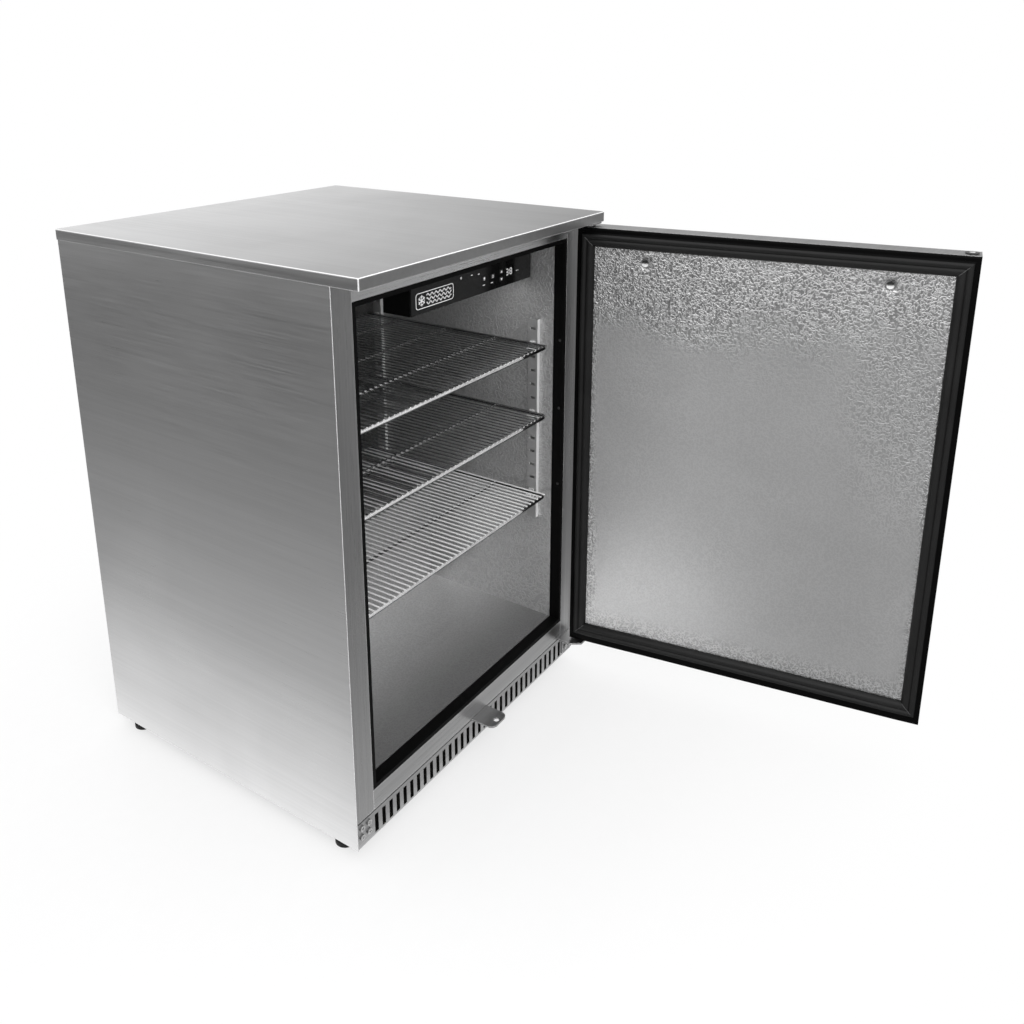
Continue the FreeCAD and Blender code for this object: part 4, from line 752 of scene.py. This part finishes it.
def crispness(x, z):
    """Embossing is crisp along the top and the free edge and rolled flatter towards the hinge and the bottom."""
    def ss(a, b, v):
        t = max(0.0, min(1.0, (v - a) / (b - a)))
        return t * t * (3 - 2 * t)
    drift = 0.045 * noise.noise(Vector((x * 6.0, 4.0, z * 6.0)))
    drift += 0.03 * noise.noise(Vector((x * 21.0, 8.0, z * 21.0)))
    top = ss(0.60, 0.715, z + drift) * (0.74 + 0.22 * ss(-0.20, 0.22, x))
    free = 0.42 * ss(0.07, 0.235, -x + drift * 0.8) * ss(0.20, 0.55, z + drift)
    rim = ss(0.250, 0.2695, abs(x) + drift * 0.2)
    foot = ss(0.135, 0.09, z)
    return max(top, free, rim * 0.8, foot * 0.6, 0.08 + 0.10 * noise.noise(Vector((x * 14, 1.0, z * 14))))


def sheet_door():
    step = 0.00165
    xs = np.arange(-SEAL_IN - 0.003, SEAL_IN + 0.003 + step * 0.5, step)
    zs = np.arange(SEAL_LO - 0.003, SEAL_HI + 0.003 + step * 0.5, step)
    verts, crisp, glow = [], [], []
    for z in zs:
        for x in xs:
            e = min(SEAL_IN + 0.003 - abs(x), z - SEAL_LO + 0.003, SEAL_HI + 0.003 - z)
            fade = max(0.0, min(1.0, e / 0.003))
            patch = 0.5 + 0.5 * noise.noise(Vector((x * 3.1, 2.0, z * 3.1)))
            c = crispness(x, z)
            crisp.append(c)
            # painted light: the sheet is coloured brighter low down beside the hinge
            glow.append(math.exp(-((x - 0.165) / 0.17) ** 2 - ((z - 0.165) / 0.13) ** 2))
            amp = 0.00080 * (0.12 + 0.88 * c) * (0.8 + 0.4 * patch)
            bow = 0.0007 * math.sin(math.pi * (x + SEAL_IN) / (2 * SEAL_IN)) * math.sin(math.pi * (z - SEAL_LO) / (SEAL_HI - SEAL_LO))
            y = BACK + amp * stucco_height(x, z) * fade + bow * fade * (0.5 + noise.noise(Vector((x * 5, 0, z * 5))))
            for bx in (-0.184, 0.184):
                d = math.hypot(x - bx, z - 0.762)
                if d < 0.015:
                    t = d / 0.015
                    calm = 1 - (1 - t * t) ** 2 * 0.9
                    y = BACK + (y - BACK) * calm - 0.0026 * (1 - t * t) ** 2
            verts.append((x, y, z))
    nx, nz = len(xs), len(zs)
    faces = []
    for j in range(nz - 1):
        for i in range(nx - 1):
            a = j * nx + i
            x, z = (xs[i] + xs[i + 1]) / 2, (zs[j] + zs[j + 1]) / 2
            if min(math.hypot(x - bx, z - 0.7635) for bx in (-0.184, 0.184)) < 0.0019:
                continue
            faces.append((a + nx, a + nx + 1, a + 1, a))
    # flat border under the gasket flange and the sheet's own thickness
    outer = [(-DW, Z0), (DW, Z0), (DW, Z1), (-DW, Z1)]
    inner = [(xs[0], zs[0]), (xs[-1], zs[0]), (xs[-1], zs[-1]), (xs[0], zs[-1])]
    n = len(verts)
    crisp.extend([0.5] * 12)
    glow.extend([0.0] * 12)
    for (x, z) in outer:
        verts.append((x, BACK, z))
    for (x, z) in inner:
        verts.append((x, BACK, z))
    for (x, z) in outer:
        verts.append((x, BACK - 0.001, z))
    for i in range(4):
        j = (i + 1) % 4
        faces.append((n + 4 + i, n + 4 + j, n + j, n + i))
        faces.append((n + i, n + j, n + 8 + j, n + 8 + i))
    faces.append((n + 8, n + 9, n + 10, n + 11))
    return mesh("door_inner_sheet", verts, faces, M["stucco_door"], "door", attrs={"crisp": crisp, "glow": glow}, place=DOOR)


sheet = sheet_door()
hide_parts("door_inner_panel")


# ------------------------------------------------------------------ door gasket: extruded profile, mitred at the corners
def gasket():
    # (distance outward from the clear opening, height above the inner sheet), going over the profile:
    # inner bellows, shallow crease, magnet tube, then a flat skirt that runs out to the door's edge
    prof = [(0.0, 0.0), (-0.0002, 0.0014), (0.0002, 0.0036), (0.0014, 0.0058), (0.0032, 0.0076), (0.0056, 0.0086), (0.0082, 0.0089), (0.0104, 0.0086),
            (0.0116, 0.0079), (0.0122, 0.0076), (0.0128, 0.0080), (0.0140, 0.0090), (0.0156, 0.0097), (0.0176, 0.0099), (0.0194, 0.0095), (0.0206, 0.0085),
            (0.0213, 0.0070), (0.0217, 0.0054), (0.0224, 0.0047), (0.0236, 0.0045), (0.0262, 0.0046), (0.0284, 0.0047), (0.0292, 0.0042), (0.0295, 0.0030), (0.0295, 0.0)]
    crown = [0.2, 0.25, 0.5, 0.8, 0.95, 1.0, 1.0, 0.9, 0.55, 0.3, 0.55, 0.9, 1.0, 1.0, 0.95, 0.8, 0.4, 0.1, 0.0, 0.0, 0.0, 0.02, 0.05, 0.0, 0.0]
    reach = {"side": 0.2988 - SEAL_IN, "low": SEAL_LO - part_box("door_skin")[0].z - 0.0002, "high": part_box("door_skin")[1].z - SEAL_HI - 0.0002}

    def out(d, edge):
        return d if d <= 0.0217 else 0.0217 + (d - 0.0217) * (reach[edge] - 0.0217) / (0.0295 - 0.0217)

    corners = [(-1, -1), (1, -1), (1, 1), (-1, 1)]
    verts, faces, run, cr = [], [], [], []
    m = len(prof)
    stations = []
    for c in range(4):
        a, b = corners[c], corners[(c + 1) % 4]
        length = 2 * SEAL_IN if a[1] == b[1] else SEAL_HI - SEAL_LO
        count = max(2, int(length / 0.03))
        for i in range(count):
            stations.append((a, b, i / count))
    stations_n = len(stations)
    for a, b, t in stations:
        for k, (d, h) in enumerate(prof):
            ax = a[0] * (SEAL_IN + out(d, "side"))
            az = (SEAL_LO - out(d, "low")) if a[1] < 0 else (SEAL_HI + out(d, "high"))
            bx = b[0] * (SEAL_IN + out(d, "side"))
            bz = (SEAL_LO - out(d, "low")) if b[1] < 0 else (SEAL_HI + out(d, "high"))
            x, z = ax + (bx - ax) * t, az + (bz - az) * t
            # a soft extrusion is never quite straight
            wob = 0.00028 * noise.noise(Vector((x * 9, h * 60, z * 9))) if 0.0005 < h else 0.0
            sink = 0.0
            if t == 0.0 and h > 0.002:
                sink = 0.0009          # the welded mitre sits a little low
            verts.append((x, BACK + 0.0001 + max(0.0, h + wob - sink), z))
            run.append(t)
            cr.append(crown[k])
    for i in range(stations_n):
        j = (i + 1) % stations_n
        for k in range(m - 1):
            faces.append((i * m + k, i * m + k + 1, j * m + k + 1, j * m + k))
        faces.append((i * m + m - 1, i * m, j * m, j * m + m - 1))
    o = mesh("gasket_bellows", verts, faces, M["gasket"], "door", attrs={"run": run, "crown": cr}, place=DOOR)
    me = o.data
    me.set_sharp_from_angle(angle=math.radians(50))
    # mitre seams: the faces that meet at a corner are split by a sharp line
    for e in me.edges:
        a, b = e.vertices
        if a // m == b // m and stations[a // m][2] == 0.0:
            e.use_edge_sharp = True
    return o


seal = gasket()
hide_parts("door_gasket")


# thin bright weld beads where the gasket strips meet at the corners
def mitre_marks():
    b = Build()
    for sx, sz in ((-1, -1), (1, -1), (1, 1), (-1, 1)):
        pts = []
        for d, h in ((0.0022, 0.0070), (0.0056, 0.0092), (0.0100, 0.0094), (0.0122, 0.0084), (0.0156, 0.0101)):
            z = SEAL_LO - d if sz < 0 else SEAL_HI + d
            pts.append((sx * (SEAL_IN + d), BACK + h - 0.0010, z))
        b.tube(pts, 0.00055, 6)
    return mesh("gasket_mitre_beads", b.v, b.f, M["bead"], "door", attrs={"crown": [1.0] * len(b.v), "run": [0.0] * len(b.v)}, place=DOOR)


mitre_marks()


# ------------------------------------------------------------------ wire shelves
def shelf(name, level):
    half, yf, yr, bend = 0.240, -0.2475, 0.150, 0.009
    b = Build()
    ring = []
    for cx, cy, a0 in ((half - bend, yf + bend, -90), (half - bend, yr - bend, 0), (-half + bend, yr - bend, 90), (-half + bend, yf + bend, 180)):
        for i in range(7):
            a = math.radians(a0 + 15 * i)
            ring.append((cx + bend * math.cos(a), cy + bend * math.sin(a), level))
    dense = []
    for i, p in enumerate(ring):
        q = ring[(i + 1) % len(ring)]
        dense.append(p)
        d = math.dist(p, q)
        for k in range(1, max(1, int(d / 0.06))):
            t = k / max(1, int(d / 0.06))
            dense.append(tuple(a + (c - a) * t for a, c in zip(p, q)))
    b.tube(dense, 0.003, 14, closed=True)
    n_ring = len(b.f)
    rods = (-0.1435, -0.0355, 0.0725)
    for y in rods:
        b.tube([(-half, y, level), (0, y, level), (half, y, level)], 0.0024, 10)
    n_rods = len(b.f)
    n, pitch, rise = 43, 0.01135, 0.00375
    for i in range(n):
        x = (i - (n - 1) / 2) * pitch
        jog = 0.00018 * noise.noise(Vector((i * 1.7, level * 10, 0.3)))
        pts = []
        for k in range(9):
            t = k / 8
            y = yf - 0.0012 + (yr + 0.0012 - (yf - 0.0012)) * t
            pts.append((x + jog * math.sin(math.pi * t), y, level + rise + 0.0001 * noise.noise(Vector((i * 0.9, k * 0.7, level)))))
        b.tube(pts, 0.00135, 8)
        # resistance-weld nuggets where the wire meets each rod
        for y in (yf,) + rods + (yr,):
            z = level + (0.0027 if y in (yf, yr) else 0.0022)
            prof = [(0, -0.0009), (0.0014, -0.0004), (0.0019, 0.0003), (0.0013, 0.0009), (0, 0.0012)]
            b.lathe(prof, (x, y, z), (0, 0, 1), 8)
    # painted light and shade: the top of the front rod, the wire ends and the lowest shelf's wires get lit copies of
    # the chrome; the rest of the ring, its right end and the lowest shelf's cross rods get the shaded copy
    low = name == "shelf_lower"
    tips = []
    for k, f in enumerate(b.f):
        cx, cy, cz = (sum(b.v[i][c] for i in f) / len(f) for c in range(3))
        front = cy < yf + 0.0042
        if k < n_ring:
            tips.append(2 if front and cz > level - 0.0003 and cx < 0.190 else 3)
        elif k < n_rods:
            tips.append(3 if low else 0)
        else:
            tips.append(1 if front and cx < 0.205 else 0)
    o = mesh(name + "_wires", b.v, b.f, None, name, mats=[M["wire_low" if low else "wire"], M["wire_tip"], M["rod_lit"], M["rod_shade"]], face_mats=tips)
    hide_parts(name)
    return o


for name in ("shelf_upper", "shelf_middle", "shelf_lower"):
    lo_, hi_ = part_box(name)
    shelf(name, lo_.z + 0.003)


# ------------------------------------------------------------------ small screws on the black jambs
def pan_head(b, at, axis, r=0.0030, h=0.0014):
    prof = [(0, h), (r * 0.35, h * 0.98), (r * 0.7, h * 0.82), (r * 0.93, h * 0.45), (r, 0.0), (r, -0.0006), (0, -0.0006)]
    b.lathe(list(reversed(prof)), at, axis, 18)


def cross_recess(b, at, axis, r):
    axis = Vector(axis)
    u = axis.orthogonal().normalized()
    w = axis.cross(u)
    for d, e in ((u, w), (w, u)):
        pts = [(-r, -r * 0.18), (r, -r * 0.18), (r, r * 0.18), (-r, r * 0.18)]
        n = d.cross(e)
        b.slab(pts, Vector(at) - n * 0.0002, d, e, 0.0003)


plug = Build()
top_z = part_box("bushing_plugs")[1].z
pan_head(plug, (-PIVOT.x, PIVOT.y, top_z), (0, 0, 1), 0.0042, 0.0010)
mesh("plug_centre", plug.v, plug.f, M["zinc"], "door", place=DOOR)

jamb, recess = Build(), Build()
for sx in (1, -1):
    for z in (0.6185, 0.4966, 0.3548, 0.7300, 0.1800):
        if z in (0.7300, 0.1800) and sx > 0:
            continue
        at = (sx * 0.2545, -0.2660, z)
        pan_head(jamb, at, (-sx, 0, 0), 0.0026)
        cross_recess(recess, (sx * (0.2545 - 0.0014), -0.2660, z), (-sx, 0, 0), 0.0012)
mesh("jamb_screws", jamb.v, jamb.f, M["rubber"], "cabinet")
mesh("jamb_screw_recesses", recess.v, recess.f, M["plastic"], "cabinet", smooth=False)


# ------------------------------------------------------------------ back: formed louvre hoods and cover screws
def louvres():
    b = Build()
    y0 = 0.2723
    for side in (1, -1):
        x0, x1 = (0.060, 0.250) if side > 0 else (-0.250, -0.060)
        for k in range(11):
            z = 0.040 + 0.015 * k
            rows = []
            n = 7
            for i in range(n + 1):
                t = i / n
                a = t * math.pi / 2
                rows.append((0.0042 * math.sin(a), 0.0085 - 0.0085 * (1 - math.cos(a))))
            # outside and inside shells of the hood; open at its lower lip
            outer, inner_ = [], []
            for yy, zz in rows:
                outer.append((y0 + yy, z + zz))
                inner_.append((y0 + max(0.0, yy - 0.0007), z + max(zz - 0.0007, 0.0)))
            loop = outer + list(reversed(inner_))
            m = len(loop)
            verts = []
            ends = ((x0 - 0.002, 0.25), (x0 + 0.002, 1.0), (x1 - 0.002, 1.0), (x1 + 0.002, 0.25))
            for x, s in ends:
                for yy, zz in loop:
                    verts.append((x, y0 + (yy - y0) * s, zz))
            faces = []
            for i in range(3):
                for k2 in range(m):
                    faces.append((i * m + k2, i * m + (k2 + 1) % m, (i + 1) * m + (k2 + 1) % m, (i + 1) * m + k2))
            faces.append(tuple(reversed(range(m))))
            faces.append(tuple(3 * m + i for i in range(m)))
            b.add(verts, faces)
    o = mesh("rear_louvre_hoods", b.v, b.f, M["galv"], "cabinet")
    o.data.set_sharp_from_angle(angle=math.radians(40))
    return o


louvres()
rear, rear_cut = Build(), Build()
points = [(x, z) for z in (0.2315, 0.012) for x in (-0.285, -0.143, 0.0, 0.143, 0.285)]
points += [(x, z) for z in (0.252, 0.812) for x in (-0.285, 0.0, 0.285)] + [(x, 0.53) for x in (-0.285, 0.285)]
for x, z in points:
    pan_head(rear, (x, 0.2723, z), (0, 1, 0), 0.0042, 0.0022)
    cross_recess(rear_cut, (x, 0.2745, z), (0, 1, 0), 0.0020)
mesh("rear_cover_screws", rear.v, rear.f, M["zinc"], "cabinet")
mesh("rear_screw_recesses", rear_cut.v, rear_cut.f, M["plastic"], "cabinet", smooth=False)


# ------------------------------------------------------------------ control panel print
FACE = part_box("control_faceplate")[0].y


def panel_print():
    b = Build()
    u, w = (1, 0, 0), (0, 0, 1)          # u x w points to -Y, out of the panel
    lift = 0.00012

    def stroke(pts, width):
        for (x0, z0), (x1, z1) in zip(pts, pts[1:]):
            d = Vector((x1 - x0, z1 - z0))
            if d.length < 1e-7:
                continue
            d.normalize()
            n = Vector((-d.y, d.x)) * width / 2
            e = d * width * 0.25
            quad = [(x0 - e.x - n.x, z0 - e.y - n.y), (x1 + e.x - n.x, z1 + e.y - n.y), (x1 + e.x + n.x, z1 + e.y + n.y), (x0 - e.x + n.x, z0 - e.y + n.y)]
            b.slab(quad, (0, FACE + 0.00005, 0), u, w, lift)

    cx, cz = -0.0186, 0.7438
    out = rounded(0.0902, 0.0242, 0.0050, cx, cz, 8)
    inn = rounded(0.0880, 0.0220, 0.0040, cx, cz, 8)
    k = len(out)
    verts, faces = [], []
    for pts in (out, inn):
        for x, z in pts:
            verts.append((x, FACE + 0.00005, z))
    for pts in (out, inn):
        for x, z in pts:
            verts.append((x, FACE - lift, z))
    for i in range(k):
        j = (i + 1) % k
        faces.append((2 * k + i, 2 * k + j, 3 * k + j, 3 * k + i))
        faces.append((i, j, 2 * k + j, 2 * k + i))
        faces.append((k + j, k + i, 3 * k + i, 3 * k + j))
    b.add(verts, faces)
    # generic mark: a six-armed frost star, then three rows of short waves
    sx, sz = cx - 0.0315, cz
    for a in range(6):
        t = math.radians(60 * a + 30)
        d = Vector((math.cos(t), math.sin(t)))
        stroke([(sx, sz), (sx + d.x * 0.0078, sz + d.y * 0.0078)], 0.0015)
        for s in (-1, 1):
            t2 = t + s * math.radians(52)
            p = (sx + d.x * 0.0045, sz + d.y * 0.0045)
            stroke([p, (p[0] + math.cos(t2) * 0.0031, p[1] + math.sin(t2) * 0.0031)], 0.0012)
    for row, z in enumerate((cz + 0.0060, cz, cz - 0.0060)):
        pts = []
        for i in range(49):
            x = cx - 0.0195 + 0.0585 * i / 48
            pts.append((x, z + 0.0017 * math.sin(i * 0.785 + row * 1.1)))
        stroke(pts, 0.0019)
    # pictograms: small frost star, indicator dashes, set and scale marks
    for (x, z, r) in ((0.0461, 0.7589, 0.0022),):
        for a in range(3):
            t = math.radians(60 * a)
            stroke([(x - math.cos(t) * r, z - math.sin(t) * r), (x + math.cos(t) * r, z + math.sin(t) * r)], 0.0007)
    stroke([(0.0719, 0.7584), (0.0759, 0.7584)], 0.0012)
    stroke([(0.0902, 0.7566), (0.0942, 0.7566)], 0.0012)
    for x, z in ((0.1058, 0.7365), (0.1282, 0.7363)):
        stroke([(x - 0.0026, z), (x + 0.0026, z)], 0.0012)
    stroke([(0.1985, 0.7433), (0.2000, 0.7433)], 0.0014)
    stroke([(0.2028, 0.7433), (0.2043, 0.7433)], 0.0014)
    return mesh("panel_print", b.v, b.f, M["ink"], "cabinet", smooth=False)


panel_print()


def key_print(button, kind):
    lo_, hi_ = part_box(button)
    cx, cz, y = (lo_.x + hi_.x) / 2, (lo_.z + hi_.z) / 2, lo_.y
    b = Build()
    u, w = (1, 0, 0), (0, 0, 1)
    if kind in ("up", "down"):
        s = 1 if kind == "up" else -1
        tri = [(-0.0030, -0.0016 * s), (0.0030, -0.0016 * s), (0.0, 0.0022 * s)]
        if s < 0:
            tri = list(reversed(tri))
        b.slab([(cx + a, cz + c) for a, c in tri], (0, y + 0.00005, 0), u, w, 0.00015)
    elif kind == "light":
        b.slab(rounded(0.0040, 0.0040, 0.0019, cx, cz + 0.0006), (0, y + 0.00005, 0), u, w, 0.00015)
        b.slab(rounded(0.0018, 0.0010, 0.0003, cx, cz - 0.0022), (0, y + 0.00005, 0), u, w, 0.00015)
    else:
        for i in range(20):
            a0, a1 = math.radians(125 + 290 * i / 20), math.radians(125 + 290 * (i + 1) / 20)
            quad = [(cx + r * math.cos(a), cz + r * math.sin(a)) for r, a in ((0.0018, a0), (0.0025, a0), (0.0025, a1), (0.0018, a1))]
            b.slab(quad, (0, y + 0.00005, 0), u, w, 0.00015)
        b.slab([(cx - 0.0004, cz + 0.0004), (cx + 0.0004, cz + 0.0004), (cx + 0.0004, cz + 0.0029), (cx - 0.0004, cz + 0.0029)], (0, y + 0.00005, 0), u, w, 0.00015)
    return mesh(button + "_print", b.v, b.f, M["ink"], button, smooth=False)


for button, kind in (("button_up", "up"), ("button_down", "down"), ("button_light", "light"), ("button_power", "power")):
    key_print(button, kind)


def digits():
    """Two seven-segment digits, a three and an eight, behind the window."""
    lo_, hi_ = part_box("display_window")
    y = lo_.y - 0.00002
    b = Build()
    seg = {"a": ((0, 2), (1, 2)), "b": ((1, 2), (1, 1)), "c": ((1, 1), (1, 0)), "d": ((0, 0), (1, 0)), "e": ((0, 1), (0, 0)), "f": ((0, 2), (0, 1)), "g": ((0, 1), (1, 1))}
    for x0, lit in ((0.1690, "abcdg"), (0.1795, "abcdefg")):
        for s in lit:
            (ax, az), (bx, bz) = seg[s]
            p0 = Vector((x0 + ax * 0.0055, 0.7408 + az * 0.0048))
            p1 = Vector((x0 + bx * 0.0055, 0.7408 + bz * 0.0048))
            d = (p1 - p0).normalized()
            p0, p1 = p0 + d * 0.0006, p1 - d * 0.0006
            n = Vector((-d.y, d.x)) * 0.0006
            quad = [tuple(p0 - n), tuple(p1 - n), tuple(p1 + n), tuple(p0 + n)]
            b.slab(quad, (0, y + 0.00005, 0), (1, 0, 0), (0, 0, 1), 0.00012)
    return mesh("display_digits", b.v, b.f, M["digit"], "cabinet", smooth=False)


digits()

# ------------------------------------------------------------------ floor, light, camera
def floor():
    g = Graph("studio_floor")
    tc = g.add("ShaderNodeTexCoord")
    ln = g.add("ShaderNodeVectorMath", operation="LENGTH")
    g.link(tc.outputs["Object"], ln.inputs[0])
    lp = g.add("ShaderNodeLightPath")
    grain = g.noise(g.coords((1, 1, 1)), 40.0, 3, 0.5)
    pale = g.mix(g.remap(grain, 0.3, 0.7, 0, 1), grey(0.90), grey(0.92))
    sep = g.add("ShaderNodeSeparateXYZ")
    g.link(tc.outputs["Object"], sep.inputs[0])
    # polished faces see the sweep fall away into shade, at a different rate beside and in front of the cabinet
    dx = g.math("MAXIMUM", g.math("SUBTRACT", g.math("ABSOLUTE", sep.outputs["X"]), 0.30), 0.0)
    dy = g.math("MAXIMUM", g.math("SUBTRACT", g.math("MULTIPLY", sep.outputs["Y"], -1.0), 0.27), 0.0)
    back = g.math("MULTIPLY", g.math("SUBTRACT", sep.outputs["Y"], 0.27), 0.6)
    beside = g.ramp(g.math("MAXIMUM", dx, back), 2.0, ((0.0, 1.40), (0.13, 1.01), (0.31, 0.54), (0.53, 0.415), (0.75, 0.36), (0.98, 0.27), (1.20, 0.17), (1.42, 0.10), (1.64, 0.095)))
    ahead = g.ramp(g.math("SQRT", g.math("ADD", g.math("MULTIPLY", dx, dx), g.math("MULTIPLY", dy, dy))), 2.0,
                   ((0.0, 0.50), (0.19, 0.40), (0.42, 0.28), (0.70, 0.24), (1.3, 0.22)))
    side = g.remap(sep.outputs["Y"], -0.31, -0.26, 0.0, 1.0, True)
    shade = g.mix(side, ahead, beside, "FLOAT")
    d = g.add("ShaderNodeBsdfDiffuse")
    g.link(pale, d.inputs["Color"])
    s = g.add("ShaderNodeEmission")
    g.link(shade, s.inputs["Strength"])
    m0 = g.add("ShaderNodeMixShader")
    g.link(lp.outputs["Is Glossy Ray"], m0.inputs[0])
    g.link(d.outputs[0], m0.inputs[1])
    g.link(s.outputs[0], m0.inputs[2])
    # towards the horizon the floor melts into the backdrop
    e = g.add("ShaderNodeEmission")
    e.inputs["Color"].default_value = (1, 1, 1, 1)
    m = g.add("ShaderNodeMixShader")
    fade = g.remap(ln.outputs["Value"], 0.25, 1.2, 0.66, 1.0, True)
    g.link(g.math("MULTIPLY", fade, lp.outputs["Is Camera Ray"]), m.inputs[0])
    g.link(m0.outputs[0], m.inputs[1])
    g.link(e.outputs[0], m.inputs[2])
    g.link(m.outputs[0], g.out.inputs["Surface"])
    me = bpy.data.meshes.new("studio_floor")
    n, r = 64, 9.0
    vs = [(0, 0, 0)] + [(r * math.cos(2 * math.pi * i / n), r * math.sin(2 * math.pi * i / n), 0) for i in range(n)]
    me.from_pydata(vs, [], [(0, i + 1, (i + 1) % n + 1) for i in range(n)])
    me.materials.append(g.mat)
    o = bpy.data.objects.new("studio_floor", me)
    o.location = (0, 0, FLOOR - 0.0002)
    scene.collection.objects.link(o)


floor()

world = bpy.data.worlds.new("studio")
scene.world = world
world.use_nodes = True
wt = world.node_tree
wt.nodes.clear()
wo = wt.nodes.new("ShaderNodeOutputWorld")
bg = wt.nodes.new("ShaderNodeBackground")
wt.links.new(bg.outputs[0], wo.inputs[0])
tc = wt.nodes.new("ShaderNodeTexCoord")
sep = wt.nodes.new("ShaderNodeSeparateXYZ")
wt.links.new(tc.outputs["Generated"], sep.inputs[0])


def wmath(op, a, b=None, c=None, clamp=False):
    m = wt.nodes.new("ShaderNodeMath")
    m.operation = op
    m.use_clamp = clamp
    for i, v in enumerate((a, b, c)):
        if v is None:
            continue
        if isinstance(v, bpy.types.NodeSocket):
            wt.links.new(v, m.inputs[i])
        else:
            m.inputs[i].default_value = v
    return m.outputs[0]


def wramp(value, a, b, c, d):
    m = wt.nodes.new("ShaderNodeMapRange")
    m.interpolation_type = "SMOOTHSTEP"
    wt.links.new(value, m.inputs["Value"])
    for k, v in zip(("From Min", "From Max", "To Min", "To Max"), (a, b, c, d)):
        m.inputs[k].default_value = v
    return m.outputs["Result"]


# what polished faces see: bright towards +X+Y, darker towards -X, a wide soft ceiling
horizon = wmath("ADD", wramp(sep.outputs["Y"], -0.1, 1.0, 0.30, 0.96), wramp(sep.outputs["X"], 0.0, 0.9, 0.0, 0.04))
fronts = wramp(sep.outputs["Y"], -0.9, -0.15, 0.15, 0.0)
# a tall pale wall to the left, seen by the upper slopes of the door's embossing
left = wmath("MULTIPLY", wramp(sep.outputs["X"], -0.95, -0.5, 1.1, 0.0), wmath("MULTIPLY", wramp(sep.outputs["Z"], 0.0, 0.22, 0.0, 1.0), wramp(sep.outputs["Y"], 0.30, 0.50, 1.0, 0.0)))
ceiling = wramp(sep.outputs["Z"], 0.35, 0.85, 0.0, 0.75)
# a strip box high on the right of the front, which is what lights the rolled edges
strip = wmath("MULTIPLY", wramp(sep.outputs["X"], 0.45, 0.75, 0.0, 1.0), wmath("MULTIPLY", wramp(sep.outputs["Z"], 0.30, 0.42, 0.0, 1.0), wramp(sep.outputs["Y"], -0.02, 0.18, 1.3, 0.0)))
glossy = wmath("ADD", wmath("ADD", wmath("ADD", wmath("ADD", horizon, fronts), ceiling), strip), left)
lp = wt.nodes.new("ShaderNodeLightPath")
mixed = wmath("MULTIPLY", glossy, lp.outputs["Is Glossy Ray"])
flat = wmath("SUBTRACT", 1.0, lp.outputs["Is Glossy Ray"])
camera_ray = lp.outputs["Is Camera Ray"]
ambient = wmath("ADD", wmath("MULTIPLY", camera_ray, 1.0), wmath("MULTIPLY", wmath("SUBTRACT", 1.0, camera_ray), 0.95))
strength = wmath("ADD", mixed, wmath("MULTIPLY", flat, ambient))
wt.links.new(strength, bg.inputs["Strength"])
bg.inputs["Color"].default_value = (1, 1, 1, 1)


def area(name, loc, target, size, power, size_y=None, glossy=False):
    l = bpy.data.lights.new(name, "AREA")
    l.shape = "RECTANGLE"
    l.size, l.size_y = size, size_y or size
    l.energy = power
    o = bpy.data.objects.new(name, l)
    o.location = loc
    o.rotation_mode = "QUATERNION"
    o.rotation_quaternion = (Vector(target) - Vector(loc)).to_track_quat("-Z", "Y")
    o.visible_glossy = glossy
    scene.collection.objects.link(o)
    return o


area("soft_key", (-1.6, -2.4, 2.6), (0.1, -0.3, 0.4), 1.8, 22)
area("soft_fill", (2.4, -1.6, 1.9), (0.1, -0.3, 0.4), 1.6, 12)
area("soft_rear", (0.6, 2.6, 2.2), (0.0, 0.0, 0.5), 1.8, 14)

lens_lo, lens_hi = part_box("light_lens")
area("cabinet_lamp", (0.085, -0.1875, lens_lo.z - 0.002), (0.085, -0.16, 0.2), 0.26, 0.28, 0.016)
area("interior_fill", (-0.75, -1.0, 0.78), (0.08, -0.05, 0.33), 0.45, 2.6)

cam_data = bpy.data.cameras.new("camera")
cam = bpy.data.objects.new("camera", cam_data)
scene.collection.objects.link(cam)
scene.camera = cam
az, pitch = math.radians(56.225), math.radians(16.162)
forward = Vector((math.sin(az) * math.cos(pitch), math.cos(az) * math.cos(pitch), -math.sin(pitch)))
cam.location = (-1.12105, -1.0725, 1.0862)
cam.rotation_mode = "QUATERNION"
cam.rotation_quaternion = forward.to_track_quat("-Z", "Y")
cam_data.sensor_width = 36.0
cam_data.lens = 34.44
cam_data.clip_start, cam_data.clip_end = 0.05, 60.0
# the lens shift belongs to this one viewpoint; from anywhere else the camera is centred
for prop, value in (("shift_x", 0.00769), ("shift_y", -0.17108)):
    setattr(cam_data, prop, value)
    drv = cam_data.driver_add(prop).driver
    drv.type = "SCRIPTED"
    var = drv.variables.new()
    var.name = "px"
    var.type = "TRANSFORMS"
    var.targets[0].id = cam
    var.targets[0].transform_type = "LOC_X"
    var.targets[0].transform_space = "WORLD_SPACE"
    drv.expression = "%r if abs(px + 1.12105) < 0.0002 else 0.0" % value

bpy.context.view_layer.update()
